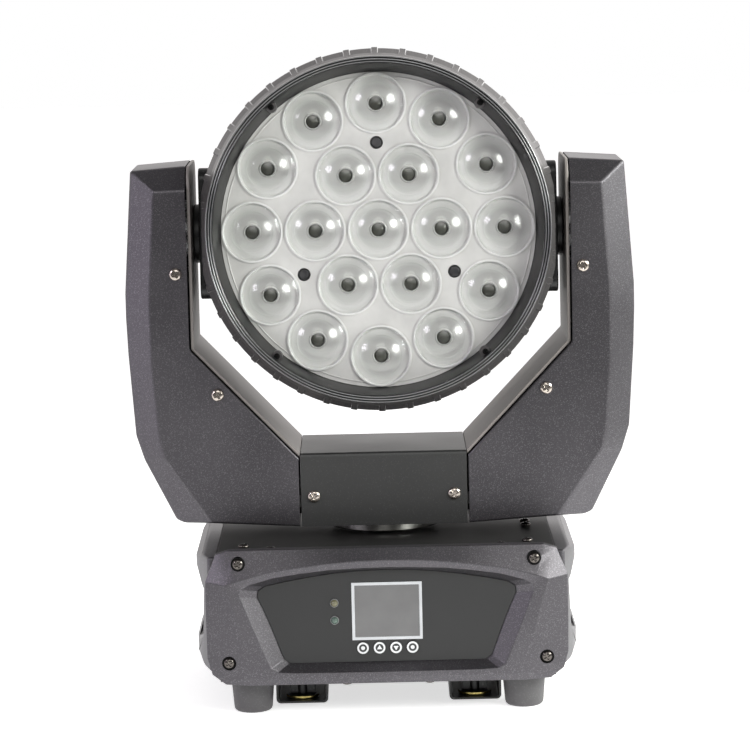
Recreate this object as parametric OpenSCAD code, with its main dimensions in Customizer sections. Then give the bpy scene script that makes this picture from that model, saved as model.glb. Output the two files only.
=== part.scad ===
// Moving head wash light: a zoom head with nineteen lenses, tilting in a yoke that pans on a base.
// Millimetres. +Z is up, the front faces -Y, and the origin is on the floor under the pan axis.

/* [Base] */
// Half width of the front panel at its straight sides
panel_half = 113.7; // [112:0.1:115]
// Distance from the pan axis to the front panel's face
base_reach = 105; // [104:0.5:106]
// Height of the base's underside above the floor
base_lift = 20.5; // [20:0.1:21]
// Height of the top plate's upper face
base_top = 103; // [102.5:0.1:103.5]
// Height of the front panel's top edge
panel_top = 106; // [105.5:0.1:106.5]
// Half width over the handle covers
handle_half = 123; // [120:0.1:124]
// Distance of each foot from the middle, left to right
foot_x = 86; // [86:0.1:88]
// Distance of each foot from the middle, front to back
foot_y = 80; // [78:0.5:81]
// Radius of a foot where it meets the base
foot_r = 13.7; // [13:0.1:13.9]

/* [Clamp brackets] */
// Distance of each clamp bracket from the middle
bracket_x = 55; // [54:0.5:55]
// Width of a clamp bracket
bracket_w = 33; // [32:0.5:33]
// Length of a clamp bracket, front to back
bracket_l = 158; // [150:1:160]
// Height of a bracket's underside above the floor
bracket_lift = 3; // [2.5:0.1:3.5]
// Radius of the clamp bolt's hole
clamp_hole_r = 6.5; // [6:0.1:6.5]
// Radius of the safety eye's hole
safety_hole_r = 6; // [5:0.5:6]

/* [Yoke] */
// Half depth of the yoke, front to back
yoke_half = 43; // [42:0.5:44]
// Height of the yoke's underside
yoke_bottom = 110.5; // [110:0.1:111]
// Inner face of each arm from the middle
arm_in = 119.3; // [119:0.1:119.6]
// Height of the arms at their inner side
arm_top = 343; // [341:0.5:344]
// Height where the upright inner plate turns into the slanted one
elbow_z = 227; // [226:0.5:228]
// Half width of the cross bar
bar_half = 53.5; // [52:0.5:54]
// Height of the cross bar's top
bar_top = 157.7; // [156:0.1:158]
// Height of the tilt axis
tilt_z = 297; // [296:0.5:298]
// Radius of the collar that shows between yoke and base
collar_r = 36; // [34:0.5:37]

/* [Head] */
// Upward pitch of the head as it stands
head_pitch = 4.9; // [4:0.1:6]
// Outer radius of the front ring's band
band_r = 115.2; // [114:0.1:115.5]
// Number of shallow pockets round the band
band_pockets = 40; // [36:1:44]
// Distance from the tilt axis to the front rim
rim_reach = 72; // [70:0.5:73]
// Distance from the tilt axis to the rear cover's back
rear_reach = 84; // [80:0.5:85]
// Distance between neighbouring lenses
lens_pitch = 40; // [39.5:0.1:40.2]
// Diameter of a lens
lens_d = 38.6; // [36:0.1:38.6]
// Height of a lens dome
lens_rise = 8; // [6:0.5:9]
// Radius on which the zoom lead screws stand
zoom_circle = 55; // [54.5:0.1:55.5]

/* [Controls] */
// Width of the display window
display_w = 44.6; // [42:0.1:46]
// Height of the display window
display_h = 37.8; // [36:0.1:39]
// Height of the display's centre
display_z = 64.7; // [64:0.1:66]
// Distance between neighbouring menu buttons
button_pitch = 10.4; // [9.5:0.1:11]
// Height of the menu buttons
button_z = 42; // [41:0.1:42.5]
// Radius of a menu button
button_r = 3.75; // [3:0.05:3.8]

/* [Hidden] */
$fn = 64;
// Clearances: a running shaft, two still pieces, and a moving piece passing a still one
run_gap = 0.05;
seat_gap = 0.2;
move_gap = 0.3;

// Base, worked out from the sizes above
panel_front = -base_reach;
panel_back = panel_front + 14;
panel_wall = 3;
recess_floor = panel_front + 8;
floor_wall = 2;
sheet_t = 2;
tray_half = 106;
rear_face = base_reach - 2;
rear_t = 3;
tray_back = rear_face - rear_t;
corner_screws = [[92.7, 97.8], [-92.7, 97.8], [99.7, 35.1], [-99.7, 35.1]];
plate_screws = [[90, -71], [-90, -71], [72.6, -83], [-72.6, -83], [91.5, -14], [91.5, 0], [88, 88],
    [-88, 88]];
tray_screw_x = 26;
sides = [-1, 1];
led_x = -33;
led_heights = [60, 71];
button_xs = [for (i = [0:3]) (i - 1.5) * button_pitch];
socket_z = 62;
signal_xs = [45, 80];
inlet_x = -66;
lock_y = 64;

// Pan drive
spindle_r = 20;
wire_r = 14;
pan_pulley_r = 42;
pan_motor_r = 10;
pan_motor_y = 68;
pan_belt_z = 74;
pulley_h = 10;
flange_t = 1;
flange_rise = 2;
belt_t = 1.5;

// Tilt drive
shaft_r = 12;
tilt_pulley_r = 19;
tilt_motor_r = 8;
tilt_motor_z = 215;
tilt_belt_x = 143.5;
motor_w = 42;

// Yoke outline, from the lower outer corner to the top
arm_out = 163;
arm_edge = [[129.5, 112.6], [134.2, 114.6], [153.8, 154], [158.8, 170], [162.2, 222], [arm_out, 246],
    [arm_out, 262], [157.5, 340.5]];
arm_wall = 3.2;
crease_w = 16.5;
crease_drop = 13;
top_crease_w = 14.5;
arm_x = arm_in + sheet_t + seat_gap;
diag_slope = (elbow_z - bar_top) / (arm_in - bar_half);
yoke_screw_spots = [[129.6, 275], [105, 197]];
bar_screw_spot = [45, 130];
badge_z = 242;

// Head, along its own forward axis
ring_r = 113;
rim_r = 107.9;
pocket_r = 111;
pocket_front = 61;
pocket_deep = 0.7;
pocket_w = 14.6;
band_front = 50;
band_back = 36;
cheek_x = 111.6;
boss_front = 63.5;
rim_in = 104.2;
bore_r = 100.1;
shell_r = 112;
shell_t = 4;
ring_back = 33;
spigot_back = 22;
shell_back = -32;
plate_front = 50;
plate_t = 3;
plate_r = 99.7;
lens_r = lens_d / 2;
lens_seat = 1;
lens_tail = 37;
board_front = 16;
emitter_h = 2.5;
screw_r = 3;
fan_front = -46;
fan_t = 18;
lens_spots = concat([[0, 0]],
    [for (i = [0:5]) lens_pitch * [cos(60 * i), sin(60 * i)]],
    [for (i = [0:11]) 2 * lens_pitch * [cos(30 * i), sin(30 * i)]]);
zoom_spots = [for (a = [90, 210, 330]) zoom_circle * [cos(a), sin(a)]];
ring_screw_spots = [for (a = [50, 130, 230, 310]) 103.2 * [cos(a), sin(a)]];

// Shared shapes

function arc(c, r, from, to, n) =
    [for (i = [0:n]) c + r * [cos(from + (to - from) * i / n), sin(from + (to - from) * i / n)]];

// A right-hand half outline, bottom to top, with its mirror image
function both_halves(half) =
    concat(half, [for (i = [len(half) - 1:-1:0]) [-half[i][0], half[i][1]]]);

// An upright (x, z) shape filled from one depth to another
module upright(y_front, y_back)
    translate([0, y_back, 0]) rotate([90, 0, 0]) linear_extrude(y_back - y_front) children();

// A (y, z) shape filled from one side to another
module sideways(x_from, x_to)
    translate([x_from, 0, 0]) rotate([90, 0, 90]) linear_extrude(x_to - x_from) children();

// A shape drawn in the head's own frame: x right, y up, z forward
module on_head() translate([0, 0, tilt_z]) rotate([90 - head_pitch, 0, 0]) children();

// A round bar of the head's frame, between two distances forward of the tilt axis
module bar(r, back, front) translate([0, 0, back]) cylinder(r = r, h = front - back);

// A right-hand shape, or its mirror image on the left
module mirrored(side) mirror([side < 0 ? 1 : 0, 0, 0]) children();

module rounded_square(w, h, r) {
    square([w - 2 * r, h], center = true);
    square([w, h - 2 * r], center = true);
    for (x = sides, y = sides) translate([x * (w / 2 - r), y * (h / 2 - r)]) circle(r);
}

// A flat belt's filled outline round two pulleys, the second one straight above the first
module belt_outline(big_r, small_r, reach) {
    lean = asin((big_r - small_r) / reach);
    side = [cos(lean), sin(lean)];
    circle(big_r);
    translate([0, reach]) circle(small_r);
    polygon(both_halves([big_r * side, [0, reach] + small_r * side]));
}

module belt(big_r, small_r, reach, width)
    linear_extrude(width) difference() {
        belt_outline(big_r + move_gap + belt_t, small_r + move_gap + belt_t, reach);
        belt_outline(big_r + move_gap, small_r + move_gap, reach);
    }

// A belt pulley with two flanges, bored for its shaft
module pulley(r, bore)
    difference() {
        union() {
            cylinder(r = r, h = pulley_h);
            cylinder(r = r + flange_rise, h = flange_t);
            translate([0, 0, pulley_h - flange_t]) cylinder(r = r + flange_rise, h = flange_t);
        }
        translate([0, 0, -1]) cylinder(r = bore, h = pulley_h + 2);
    }

// A pan-head screw with its head's underside at the origin, driven down
module pan_screw(head_r, head_h, shank_r, shank_l) {
    cylinder(r = head_r, h = head_h);
    translate([0, 0, -shank_l]) cylinder(r = shank_r, h = shank_l);
}

// Base

// Right half of the panels' outline, drawn in by an inset, from the bottom to the top edge
function panel_half_outline(inset) = let (r = 14 - inset, x = panel_half - inset, low = base_lift + inset)
    concat(arc([x - r, low + r], r, -90, 0, 6),
        [[x, 86], [106 - inset, base_top - inset], [97 - inset, panel_top - inset]]);

module panel_outline(inset = 0) polygon(both_halves(panel_half_outline(inset)));

// The floor of the front panel's arched recess, grown or drawn in by a margin
module recess_outline(margin = 0) {
    half = 81 + margin;
    foot_half = 64 + margin;
    low = 33.2 - margin / 2;
    rise = 14.6;
    crown_r = (half * half + rise * rise) / (2 * rise);
    lean = asin(half / crown_r);
    crown = [0, 91.6 + margin / 4 - crown_r];
    polygon(concat([[-foot_half, low], [foot_half, low]], arc(crown, crown_r, 90 - lean, 90 + lean, 12)));
}

module at_screws(spots, y) for (p = spots) translate([p[0], y, p[1]]) rotate([90, 0, 0]) children();

module window_cut(margin)
    translate([0, display_z]) square([display_w + 2 * margin, display_h + 2 * margin], center = true);

module control_cuts(button_margin, led_margin, window_margin) {
    window_cut(window_margin);
    for (x = button_xs) translate([x, button_z]) circle(button_r + button_margin);
    for (z = led_heights) translate([led_x, z]) circle(2.5 + led_margin);
}

module base_tray()
    color("dimgray") difference() {
        union() {
            translate([-tray_half, panel_back + seat_gap, base_lift])
                cube([2 * tray_half, tray_back - panel_back - 2 * seat_gap, sheet_t]);
            for (s = sides)
                translate([s * (tray_half - sheet_t / 2) - sheet_t / 2, panel_back + seat_gap, base_lift])
                    cube([sheet_t, tray_back - panel_back - 2 * seat_gap, base_top - sheet_t - base_lift]);
        }
        for (x = sides, y = sides)
            translate([x * bracket_x, y * lock_y, base_lift - 1]) cylinder(r = 3 + run_gap, h = sheet_t + 2);
    }

module base_top_plate()
    color("dimgray") difference() {
        translate([-tray_half, panel_back + seat_gap, base_top - sheet_t])
            cube([2 * tray_half, tray_back - panel_back - 2 * seat_gap, sheet_t]);
        translate([0, 0, base_top - sheet_t - 1]) cylinder(r = spindle_r + 4, h = sheet_t + 2);
        for (p = plate_screws)
            translate([p[0], p[1], base_top - sheet_t - 1]) cylinder(r = 1.7, h = sheet_t + 2);
    }

module base_front_panel()
    color([0.28, 0.28, 0.31]) difference() {
        union() {
            difference() {
                upright(panel_front, panel_back) panel_outline();
                upright(panel_front + panel_wall, panel_back + 1) panel_outline(2.5);
            }
            upright(panel_front + panel_wall, recess_floor + floor_wall) recess_outline(2);
            intersection() {
                at_screws(corner_screws, panel_back) cylinder(r = 6, h = panel_back - panel_front - 1);
                upright(panel_front, panel_back) panel_outline();
            }
        }
        upright(panel_front - 1, panel_front + 1.5) recess_outline(6);
        upright(panel_front - 1, recess_floor) recess_outline();
        upright(recess_floor - 1, recess_floor + floor_wall + 1) control_cuts(0.8, 0.4, 0.3);
        at_screws(corner_screws, panel_front + 2.5) cylinder(r = 4.5, h = 4);
        at_screws(corner_screws, panel_back + 1) cylinder(r = 1.7, h = panel_back - panel_front + 2);
    }

module base_rear_panel()
    color("dimgray") upright(rear_face - rear_t, rear_face) difference() {
        panel_outline();
        for (x = signal_xs) translate([x, socket_z]) circle(11.7);
        translate([inlet_x, socket_z]) square([28, 20.4], center = true);
        for (p = corner_screws) translate(p) circle(1.7);
    }

// The moulded side cover, its outline drawn for the right-hand side, with a pocket for the fingers
module handle_cover(side) {
    x_in = tray_half + move_gap;
    low = base_lift + 7;
    high = base_top - 2.5;
    waist = handle_half - 6;
    brow = handle_half - 1.3;
    outline = [[x_in, low], [handle_half - 7, low], [handle_half - 2, low + 3], [handle_half, low + 8],
        [handle_half, 37.5], [waist, 47.5], [waist, 80], [brow, 87], [brow, 95], [handle_half - 7.5, high],
        [x_in, high]];
    y_from = panel_back + seat_gap;
    y_to = tray_back - seat_gap;
    sweep = [[handle_half - 10.7, 0], [handle_half - 5.5, 20], [handle_half - 1.6, 46], [handle_half, 70]];
    plan = concat([[x_in - 1, y_from]], [for (p = sweep) [p[0], y_from + p[1]]],
        [for (i = [len(sweep) - 1:-1:0]) [sweep[i][0], y_to - sweep[i][1]]], [[x_in - 1, y_to]]);
    difference() {
        intersection() {
            upright(y_from, y_to) polygon([for (p = outline) [side * p[0], p[1]]]);
            linear_extrude(base_top) polygon([for (p = plan) [side * p[0], p[1]]]);
        }
        mirrored(side) sideways(x_in + 1.2, handle_half + 5)
            translate([(y_from + y_to) / 2, 62]) rounded_square(104, 40, 9);
    }
}

module handle_cover_left() color([0.3, 0.3, 0.33]) handle_cover(-1);
module handle_cover_right() color([0.3, 0.3, 0.33]) handle_cover(1);

module feet()
    color("gray") for (x = sides, y = sides) translate([x * foot_x, y * foot_y, 0]) {
        translate([0, 0, 2]) cylinder(r1 = foot_r - 1.3, r2 = foot_r, h = base_lift - 2);
        cylinder(r1 = foot_r - 2.3, r2 = foot_r - 1.3, h = 2);
    }

module control_panel()
    color([0.1, 0.1, 0.11]) upright(recess_floor - 1, recess_floor) difference() {
        recess_outline(-0.4);
        control_cuts(0.45, 0.3, 0.2);
    }

module display_window()
    color([0.75, 0.77, 0.76]) upright(recess_floor - 1.4, recess_floor + floor_wall - 0.2) window_cut(0);

module indicator_leds()
    color([0.7, 0.75, 0.6]) for (z = led_heights) translate([led_x, 0, z]) rotate([90, 0, 0]) {
        translate([0, 0, -recess_floor - 5.5]) cylinder(r = 2.5, h = 6.5);
        translate([0, 0, -recess_floor + 1]) intersection() {
            sphere(r = 2.5);
            cylinder(r = 3, h = 3);
        }
    }

// The circuit board behind the display, with a switch under each button
module control_board()
    color("darkgreen") {
        translate([-45, recess_floor + 5.5, 33]) cube([90, 1.6, 55]);
        for (x = button_xs) translate([x - 3, recess_floor + 4.7, button_z - 3]) cube([6, 0.8, 6]);
    }

// A menu button: its cap, with a flange that keeps it behind the panel
module menu_button(i)
    color("white") translate([button_xs[i - 1], 0, button_z]) rotate([90, 0, 0]) {
        translate([0, 0, -recess_floor - 3.4]) cylinder(r = button_r, h = 5.2);
        translate([0, 0, -recess_floor - 3.6]) cylinder(r = button_r + 1.3, h = 1.2);
    }

module menu_button_1() menu_button(1);
module menu_button_2() menu_button(2);
module menu_button_3() menu_button(3);
module menu_button_4() menu_button(4);

module power_supply()
    color("silver") translate([-98, -70, base_lift + sheet_t]) cube([58, 110, 42]);

module pan_motor()
    color([0.2, 0.2, 0.22]) translate([0, pan_motor_y, base_lift + sheet_t]) {
        linear_extrude(38) rounded_square(motor_w, motor_w, 4);
        cylinder(r = 2.5, h = 62);
    }

module pan_motor_pulley()
    color("silver") translate([0, pan_motor_y, pan_belt_z]) pulley(pan_motor_r, 2.5 + run_gap);

module pan_belt()
    color([0.08, 0.08, 0.08]) translate([0, 0, pan_belt_z + flange_t + move_gap])
        belt(pan_pulley_r, pan_motor_r, pan_motor_y, pulley_h - 2 * flange_t - 2 * move_gap);

module pan_bearing()
    color("silver") translate([0, 0, base_top - sheet_t - 12]) difference() {
        cylinder(r = spindle_r + 12, h = 12);
        translate([0, 0, -1]) cylinder(r = spindle_r + run_gap, h = 14);
    }

// The mains inlet: a flanged box with three flat pins well inside its mouth
module power_inlet()
    color([0.12, 0.12, 0.12]) translate([inlet_x, 0, socket_z]) {
        difference() {
            union() {
                upright(rear_face, rear_face + 2) rounded_square(48, 26, 4);
                upright(rear_face - 22, rear_face + 1) square([27.6, 20], center = true);
            }
            upright(rear_face - 17, rear_face + 3) square([24, 16.4], center = true);
        }
        for (p = [[-7, -2], [0, 3], [7, -2]])
            translate([p[0] - 1, rear_face - 19, p[1] - 2]) cube([2, 12, 4]);
    }

// A round three-pole signal socket's flanged shell
module signal_shell(x)
    translate([x, 0, socket_z]) difference() {
        union() {
            upright(rear_face, rear_face + 2) rounded_square(26, 31, 3);
            upright(rear_face - 20, rear_face + 1) circle(11.5);
        }
        upright(rear_face - 17, rear_face + 3) circle(9.6);
    }

module poles(x, r, from, to)
    translate([x, 0, socket_z]) upright(from, to)
        for (a = [30, 150, 270]) translate(4.6 * [cos(a), sin(a)]) circle(r);

module signal_input()
    color([0.7, 0.7, 0.72]) {
        signal_shell(signal_xs[0]);
        poles(signal_xs[0], 1.2, rear_face - 18, rear_face - 6);
    }

module signal_output()
    color([0.7, 0.7, 0.72]) {
        signal_shell(signal_xs[1]);
        difference() {
            translate([signal_xs[1], 0, socket_z]) upright(rear_face - 18, rear_face - 6) circle(6.8);
            poles(signal_xs[1], 1.4, rear_face - 16, rear_face - 5);
        }
    }

// Folded channels under the base that take the hanging clamps
module clamp_brackets()
    color([0.1, 0.1, 0.1]) for (s = sides) translate([s * bracket_x, 0, 0]) difference() {
        translate([0, bracket_l / 2, 0]) rotate([90, 0, 0]) linear_extrude(bracket_l) difference() {
            translate([0, (base_lift + bracket_lift) / 2 + 2])
                rounded_square(bracket_w, base_lift - bracket_lift + 4, 3);
            translate([-bracket_w, base_lift]) square([2 * bracket_w, 8]);
            translate([0, base_lift / 2 + bracket_lift + 4.5])
                rounded_square(bracket_w - 3, base_lift + 6, 1.5);
        }
        translate([0, 0, bracket_lift - 1]) cylinder(r = clamp_hole_r, h = 4);
    }

// A quarter-turn lock in a bracket: a disc with a wing, on a post held by the tray
module quarter_turn_lock(x, y)
    color("goldenrod") translate([x * bracket_x, y * lock_y, bracket_lift + 1.85]) {
        cylinder(r = 10.5, h = 1.6);
        cylinder(r = 3, h = base_lift + 1.8 - bracket_lift - 1.85);
        translate([-8, -1, 1.6]) cube([16, 2, 6]);
    }

module quarter_turn_lock_1() quarter_turn_lock(-1, -1);
module quarter_turn_lock_2() quarter_turn_lock(1, -1);
module quarter_turn_lock_3() quarter_turn_lock(-1, 1);
module quarter_turn_lock_4() quarter_turn_lock(1, 1);

// The bored lug under the base for a safety wire
module safety_eye()
    color("dimgray") {
        upright(48, 52) difference() {
            translate([0, base_lift / 2 + 1.5]) square([30, base_lift - 3], center = true);
            translate([0, 11.5]) circle(safety_hole_r);
        }
        translate([-15, 38, base_lift - 2]) cube([30, 10, 2]);
    }

// Screws of the base: panel corners, top plate and the panel's lower edge
module case_screws()
    color("silver") {
        at_screws(corner_screws, panel_front + 2.5) pan_screw(3.3, 2, 1.5, 10);
        for (p = corner_screws) translate([p[0], rear_face, p[1]]) rotate([-90, 0, 0])
            pan_screw(3.3, 1.8, 1.5, 8);
        for (p = plate_screws) translate([p[0], p[1], base_top]) pan_screw(3, 1.6, 1.5, 8);
        for (s = sides) translate([s * tray_screw_x, panel_back - 5, base_lift]) rotate([180, 0, 0])
            cylinder(r = 3.4, h = 1.8);
    }

// Yoke

// Height of the slanted plate's face at a given x, moved into the arm by an offset
function slant_z(x, offset) =
    bar_top + (x - bar_half) * diag_slope - offset * sqrt(1 + diag_slope * diag_slope);

// The arm's outer edge drawn in for the walls of its hollow
function inset_edge(d) =
    [for (p = arm_edge) [p[0] - d, p[1] + (p[1] < 160 ? 0.4 * d : p[1] > 330 ? -d : 0)]];

module yoke_frame() {
    deck = 116;
    color("gray") difference() {
        union() {
            translate([-110, -24, deck]) cube([220, 48, 4]);
            translate([-bar_half + 1.5, -38, deck]) cube([2 * bar_half - 3, 76, 4]);
            translate([0, 0, yoke_bottom + 0.1]) cylinder(r = collar_r, h = deck - yoke_bottom);
            for (s = sides) translate([s * 49.5 - 1.5, -38, deck]) cube([3, 76, 38]);
        }
        translate([0, 0, yoke_bottom - 1]) cylinder(r = wire_r, h = 20);
    }
}

// The folded inner plate of an arm: upright beside the head, then slanting down to the bar
module arm_plate(side) {
    outside = arm_in + sheet_t;
    color([0.5, 0.48, 0.47]) mirrored(side) difference() {
        intersection() {
            upright(-40, 40) polygon([[arm_in, arm_top], [outside, arm_top],
                [outside, slant_z(outside, sheet_t)], [bar_half, slant_z(bar_half, sheet_t)],
                [bar_half, bar_top], [arm_in, elbow_z]]);
            sideways(0, 200) translate([0, (arm_top + 100) / 2]) rounded_square(80, arm_top - 100, 12);
        }
        translate([arm_in - 1, 0, tilt_z]) rotate([0, 90, 0]) cylinder(r = shaft_r + 1, h = sheet_t + 2);
    }
}

module arm_plate_left() arm_plate(-1);
module arm_plate_right() arm_plate(1);

module arm_outline() {
    seam = bar_half + move_gap;
    polygon(concat([[seam, yoke_bottom]], arm_edge, [[arm_x, arm_top],
        [arm_x, slant_z(arm_x, sheet_t + seat_gap)], [seam, slant_z(seam, sheet_t + seat_gap)]]));
}

// Takes the slanted facet off both faces of an arm along one stretch of its outer edge
module crease_cut(from, to, width) {
    run = to - from;
    spare = 40;
    over = 3;
    rise = over * crease_drop / width;
    for (s = sides)
        translate([from[0], 0, from[1]]) rotate([0, atan2(run[0], run[1]), 0]) translate([0, 0, -spare])
            linear_extrude(norm(run) + 2 * spare) polygon([[-width - over, s * (yoke_half + rise)],
                [over, s * (yoke_half - crease_drop - rise)], [over, s * (yoke_half + rise)]]);
}

// The space inside an arm, open towards the head and the bar
module arm_hollow(inset, depth) {
    edge = inset_edge(inset);
    upright(-depth, depth)
        polygon(concat([[40, yoke_bottom + 2.8]], edge,
            [[100, edge[len(edge) - 1][1]], [100, 240], [40, 180]]));
}

module arm_shell(side)
    color([0.3, 0.3, 0.33]) mirrored(side) {
        difference() {
            upright(-yoke_half, yoke_half) arm_outline();
            crease_cut([arm_out, arm_edge[2][1]], [arm_out, arm_top], crease_w);
            crease_cut(arm_edge[1], arm_edge[2], crease_w);
            crease_cut(arm_edge[len(arm_edge) - 1], [arm_x, arm_top], top_crease_w);
            arm_hollow(crease_w + 2.5, yoke_half - arm_wall);
            arm_hollow(arm_wall, yoke_half - crease_drop - arm_wall);
            upright(-yoke_half - 1, yoke_half + 1) for (p = yoke_screw_spots) translate(p) circle(1.9);
        }
        translate([arm_out - 0.5, 0, badge_z]) rotate([0, 90, 0]) cylinder(r = 9.5, h = 1.7);
    }

module arm_shell_left() arm_shell(-1);
module arm_shell_right() arm_shell(1);

// The folded sheet over the cross bar
module bar_cover() {
    wall = 1.5;
    tall = bar_top - yoke_bottom;
    color([0.25, 0.25, 0.26]) difference() {
        sideways(-bar_half + seat_gap, bar_half - seat_gap) difference() {
            translate([0, bar_top - tall]) rounded_square(2 * yoke_half, 2 * tall, 2);
            translate([0, bar_top - tall]) rounded_square(2 * yoke_half - 2 * wall, 2 * tall - 2 * wall, 1);
            translate([0, yoke_bottom - tall]) square([4 * yoke_half, 2 * tall], center = true);
        }
        upright(-yoke_half - 1, yoke_half + 1)
            for (s = sides) translate([s * bar_screw_spot[0], bar_screw_spot[1]]) circle(1.9);
    }
}

// The hollow shaft that the yoke turns on, with the collar that shows above the base
module pan_spindle() {
    foot = 66;
    color("silver") difference() {
        union() {
            translate([0, 0, foot]) cylinder(r = spindle_r, h = yoke_bottom - foot);
            translate([0, 0, base_top + 2]) cylinder(r = collar_r, h = yoke_bottom + 0.1 - base_top - 2);
        }
        translate([0, 0, foot - 1]) cylinder(r = wire_r, h = 60);
    }
}

module pan_pulley()
    color("silver") translate([0, 0, pan_belt_z]) pulley(pan_pulley_r, spindle_r + run_gap);

module along_x(x, z) translate([x, 0, z]) rotate([90, 0, 90]) children();

module tilt_motor()
    color([0.2, 0.2, 0.22]) {
        along_x(tilt_belt_x - 21.5, tilt_motor_z) linear_extrude(21) rounded_square(motor_w, motor_w, 4);
        along_x(tilt_belt_x - 1, tilt_motor_z) cylinder(r = 2.5, h = pulley_h + 1);
    }

module tilt_motor_pulley()
    color("silver") along_x(tilt_belt_x, tilt_motor_z) pulley(tilt_motor_r, 2.5 + run_gap);

module tilt_belt()
    color([0.08, 0.08, 0.08]) along_x(tilt_belt_x + flange_t + move_gap, tilt_z) mirror([0, 1, 0])
        belt(tilt_pulley_r, tilt_motor_r, tilt_z - tilt_motor_z, pulley_h - 2 * flange_t - 2 * move_gap);

module tilt_bearings()
    color("silver") for (s = sides) mirrored(s) along_x(arm_in + sheet_t, tilt_z) difference() {
        cylinder(r = shaft_r + 10, h = 10);
        translate([0, 0, -1]) cylinder(r = shaft_r + run_gap, h = 12);
    }

module yoke_screws() {
    spots = concat(yoke_screw_spots, [bar_screw_spot]);
    color([0.75, 0.7, 0.62]) for (s = sides, p = spots) translate([s * p[0], 0, p[1]]) {
        translate([0, -yoke_half, 0]) rotate([90, 0, 0]) pan_screw(4, 2.2, 1.8, 6);
        translate([0, yoke_half, 0]) rotate([-90, 0, 0]) pan_screw(4, 2.2, 1.8, 6);
    }
}

// Head

module front_ring()
    color([0.22, 0.22, 0.23]) on_head() difference() {
        union() {
            rotate_extrude() polygon([[bore_r, spigot_back], [bore_r, plate_front + 2],
                [rim_in, rim_reach - 1.5], [rim_in + 1, rim_reach], [rim_r, rim_reach],
                [pocket_r, pocket_front], [band_r, band_front], [band_r, band_back],
                [ring_r, band_back - 1], [ring_r, ring_back],
                [shell_r - shell_t - seat_gap, ring_back], [shell_r - shell_t - seat_gap, spigot_back]]);
            for (p = ring_screw_spots) translate(p) bar(3.5, plate_front + 2, boss_front);
        }
        for (i = [0:band_pockets - 1]) rotate([0, 0, (i + 0.5) * 360 / band_pockets])
            upright(-pocket_w / 2, pocket_w / 2) polygon([[pocket_r - pocket_deep, pocket_front - 1],
                [band_r - pocket_deep, band_front], [band_r - pocket_deep, band_back + 1.5],
                [band_r + 5, band_back + 1.5], [band_r + 5, pocket_front - 1]]);
        for (p = ring_screw_spots) translate(p) {
            bar(1.3, plate_front + 4, boss_front + 1);
            bar(2.8, boss_front, boss_front + 4.5);
        }
        for (s = sides) translate([s * (cheek_x + 10) - 10, -60, ring_back - 1]) cube([20, 120, 50]);
    }

module ring_screws()
    color([0.1, 0.1, 0.1]) on_head() for (p = ring_screw_spots) translate([p[0], p[1], boss_front])
        pan_screw(2.6, 1.4, 1.2, 8);

module head_shell()
    color([0.2, 0.2, 0.21]) on_head() difference() {
        bar(shell_r, shell_back + seat_gap, ring_back - seat_gap);
        bar(shell_r - shell_t, shell_back - 1, ring_back + 1);
    }

// One upright slot of the fan's grille, as long as the fan's circle is tall there
module vent_slot(x) {
    half = sqrt(43.5 * 43.5 - x * x);
    translate([x - 2.5, -half, -rear_reach - 1]) cube([5, 2 * half, 6]);
}

module rear_cover()
    color([0.2, 0.2, 0.21]) on_head() difference() {
        rotate_extrude() polygon([[shell_r, shell_back], [shell_r, -48], [104, -72], [92, -rear_reach],
            [0, -rear_reach], [0, 3 - rear_reach], [90.5, 3 - rear_reach], [101.3, -70.5],
            [109, -47.5], [109, shell_back]]);
        for (i = [-4:4]) vent_slot(10 * i);
    }

module heat_sink()
    color([0.7, 0.7, 0.72]) on_head() difference() {
        union() {
            bar(shell_r - shell_t - seat_gap, 8, board_front - 2);
            intersection() {
                bar(92, -30, 9);
                for (i = [-11:11]) translate([8 * i - 1, -100, -30]) cube([2, 200, 39]);
            }
        }
        for (p = zoom_spots) translate(p) {
            bar(12, -40, 4);
            bar(4.5, 0, 20);
        }
    }

module led_board()
    color([0.85, 0.87, 0.86]) on_head() difference() {
        bar(97, board_front - 2, board_front);
        for (p = zoom_spots) translate(p) bar(4.5, 0, 20);
    }

module led_emitters()
    color([0.15, 0.15, 0.12]) on_head() for (p = lens_spots)
        translate([p[0] - 3.5, p[1] - 3.5, board_front]) cube([7, 7, emitter_h]);

// Each trunnion is a saddle on the head shell, a hub that shows beside the arm, and a shaft
module trunnion(shaft_end) {
    face = 114.5;
    difference() {
        translate([100, 0, 0]) rotate([90, 0, 90]) linear_extrude(face - 100) rounded_square(84, 60, 8);
        bar(shell_r + seat_gap, -50, 50);
    }
    translate([face - 1, 0, 0]) rotate([0, 90, 0]) cylinder(r = 19, h = arm_in - 0.4 - face + 1);
    translate([face - 1, 0, 0]) rotate([0, 90, 0]) cylinder(r = shaft_r, h = shaft_end - face + 1);
}

module trunnions()
    color([0.12, 0.12, 0.13]) on_head() {
        trunnion(tilt_belt_x + pulley_h + 1);
        mirror([1, 0, 0]) trunnion(133);
    }

module tilt_pulley()
    color("silver") on_head() translate([tilt_belt_x, 0, 0]) rotate([0, 90, 0])
        pulley(tilt_pulley_r, shaft_r + run_gap);

module fan_frame()
    color([0.1, 0.1, 0.1]) on_head() translate([0, 0, fan_front - fan_t]) {
        linear_extrude(fan_t) difference() {
            rounded_square(92, 92, 6);
            circle(43);
        }
        cylinder(r = 14, h = 2);
        for (a = [0:90:270]) rotate([0, 0, a]) translate([10, -2, 0]) cube([34.5, 4, 2]);
    }

module fan_rotor()
    color([0.16, 0.16, 0.16]) on_head() translate([0, 0, fan_front - fan_t / 2]) {
        translate([0, 0, -6]) cylinder(r = 15, h = 13);
        for (i = [0:6]) rotate([0, 0, i * 360 / 7]) translate([13, 0, 0]) rotate([40, 0, 0])
            translate([0, -7, -0.8]) cube([27, 14, 1.6]);
    }

module zoom_motors()
    color("silver") on_head() for (p = zoom_spots) translate(p) bar(10.5, -34, -14);

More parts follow.
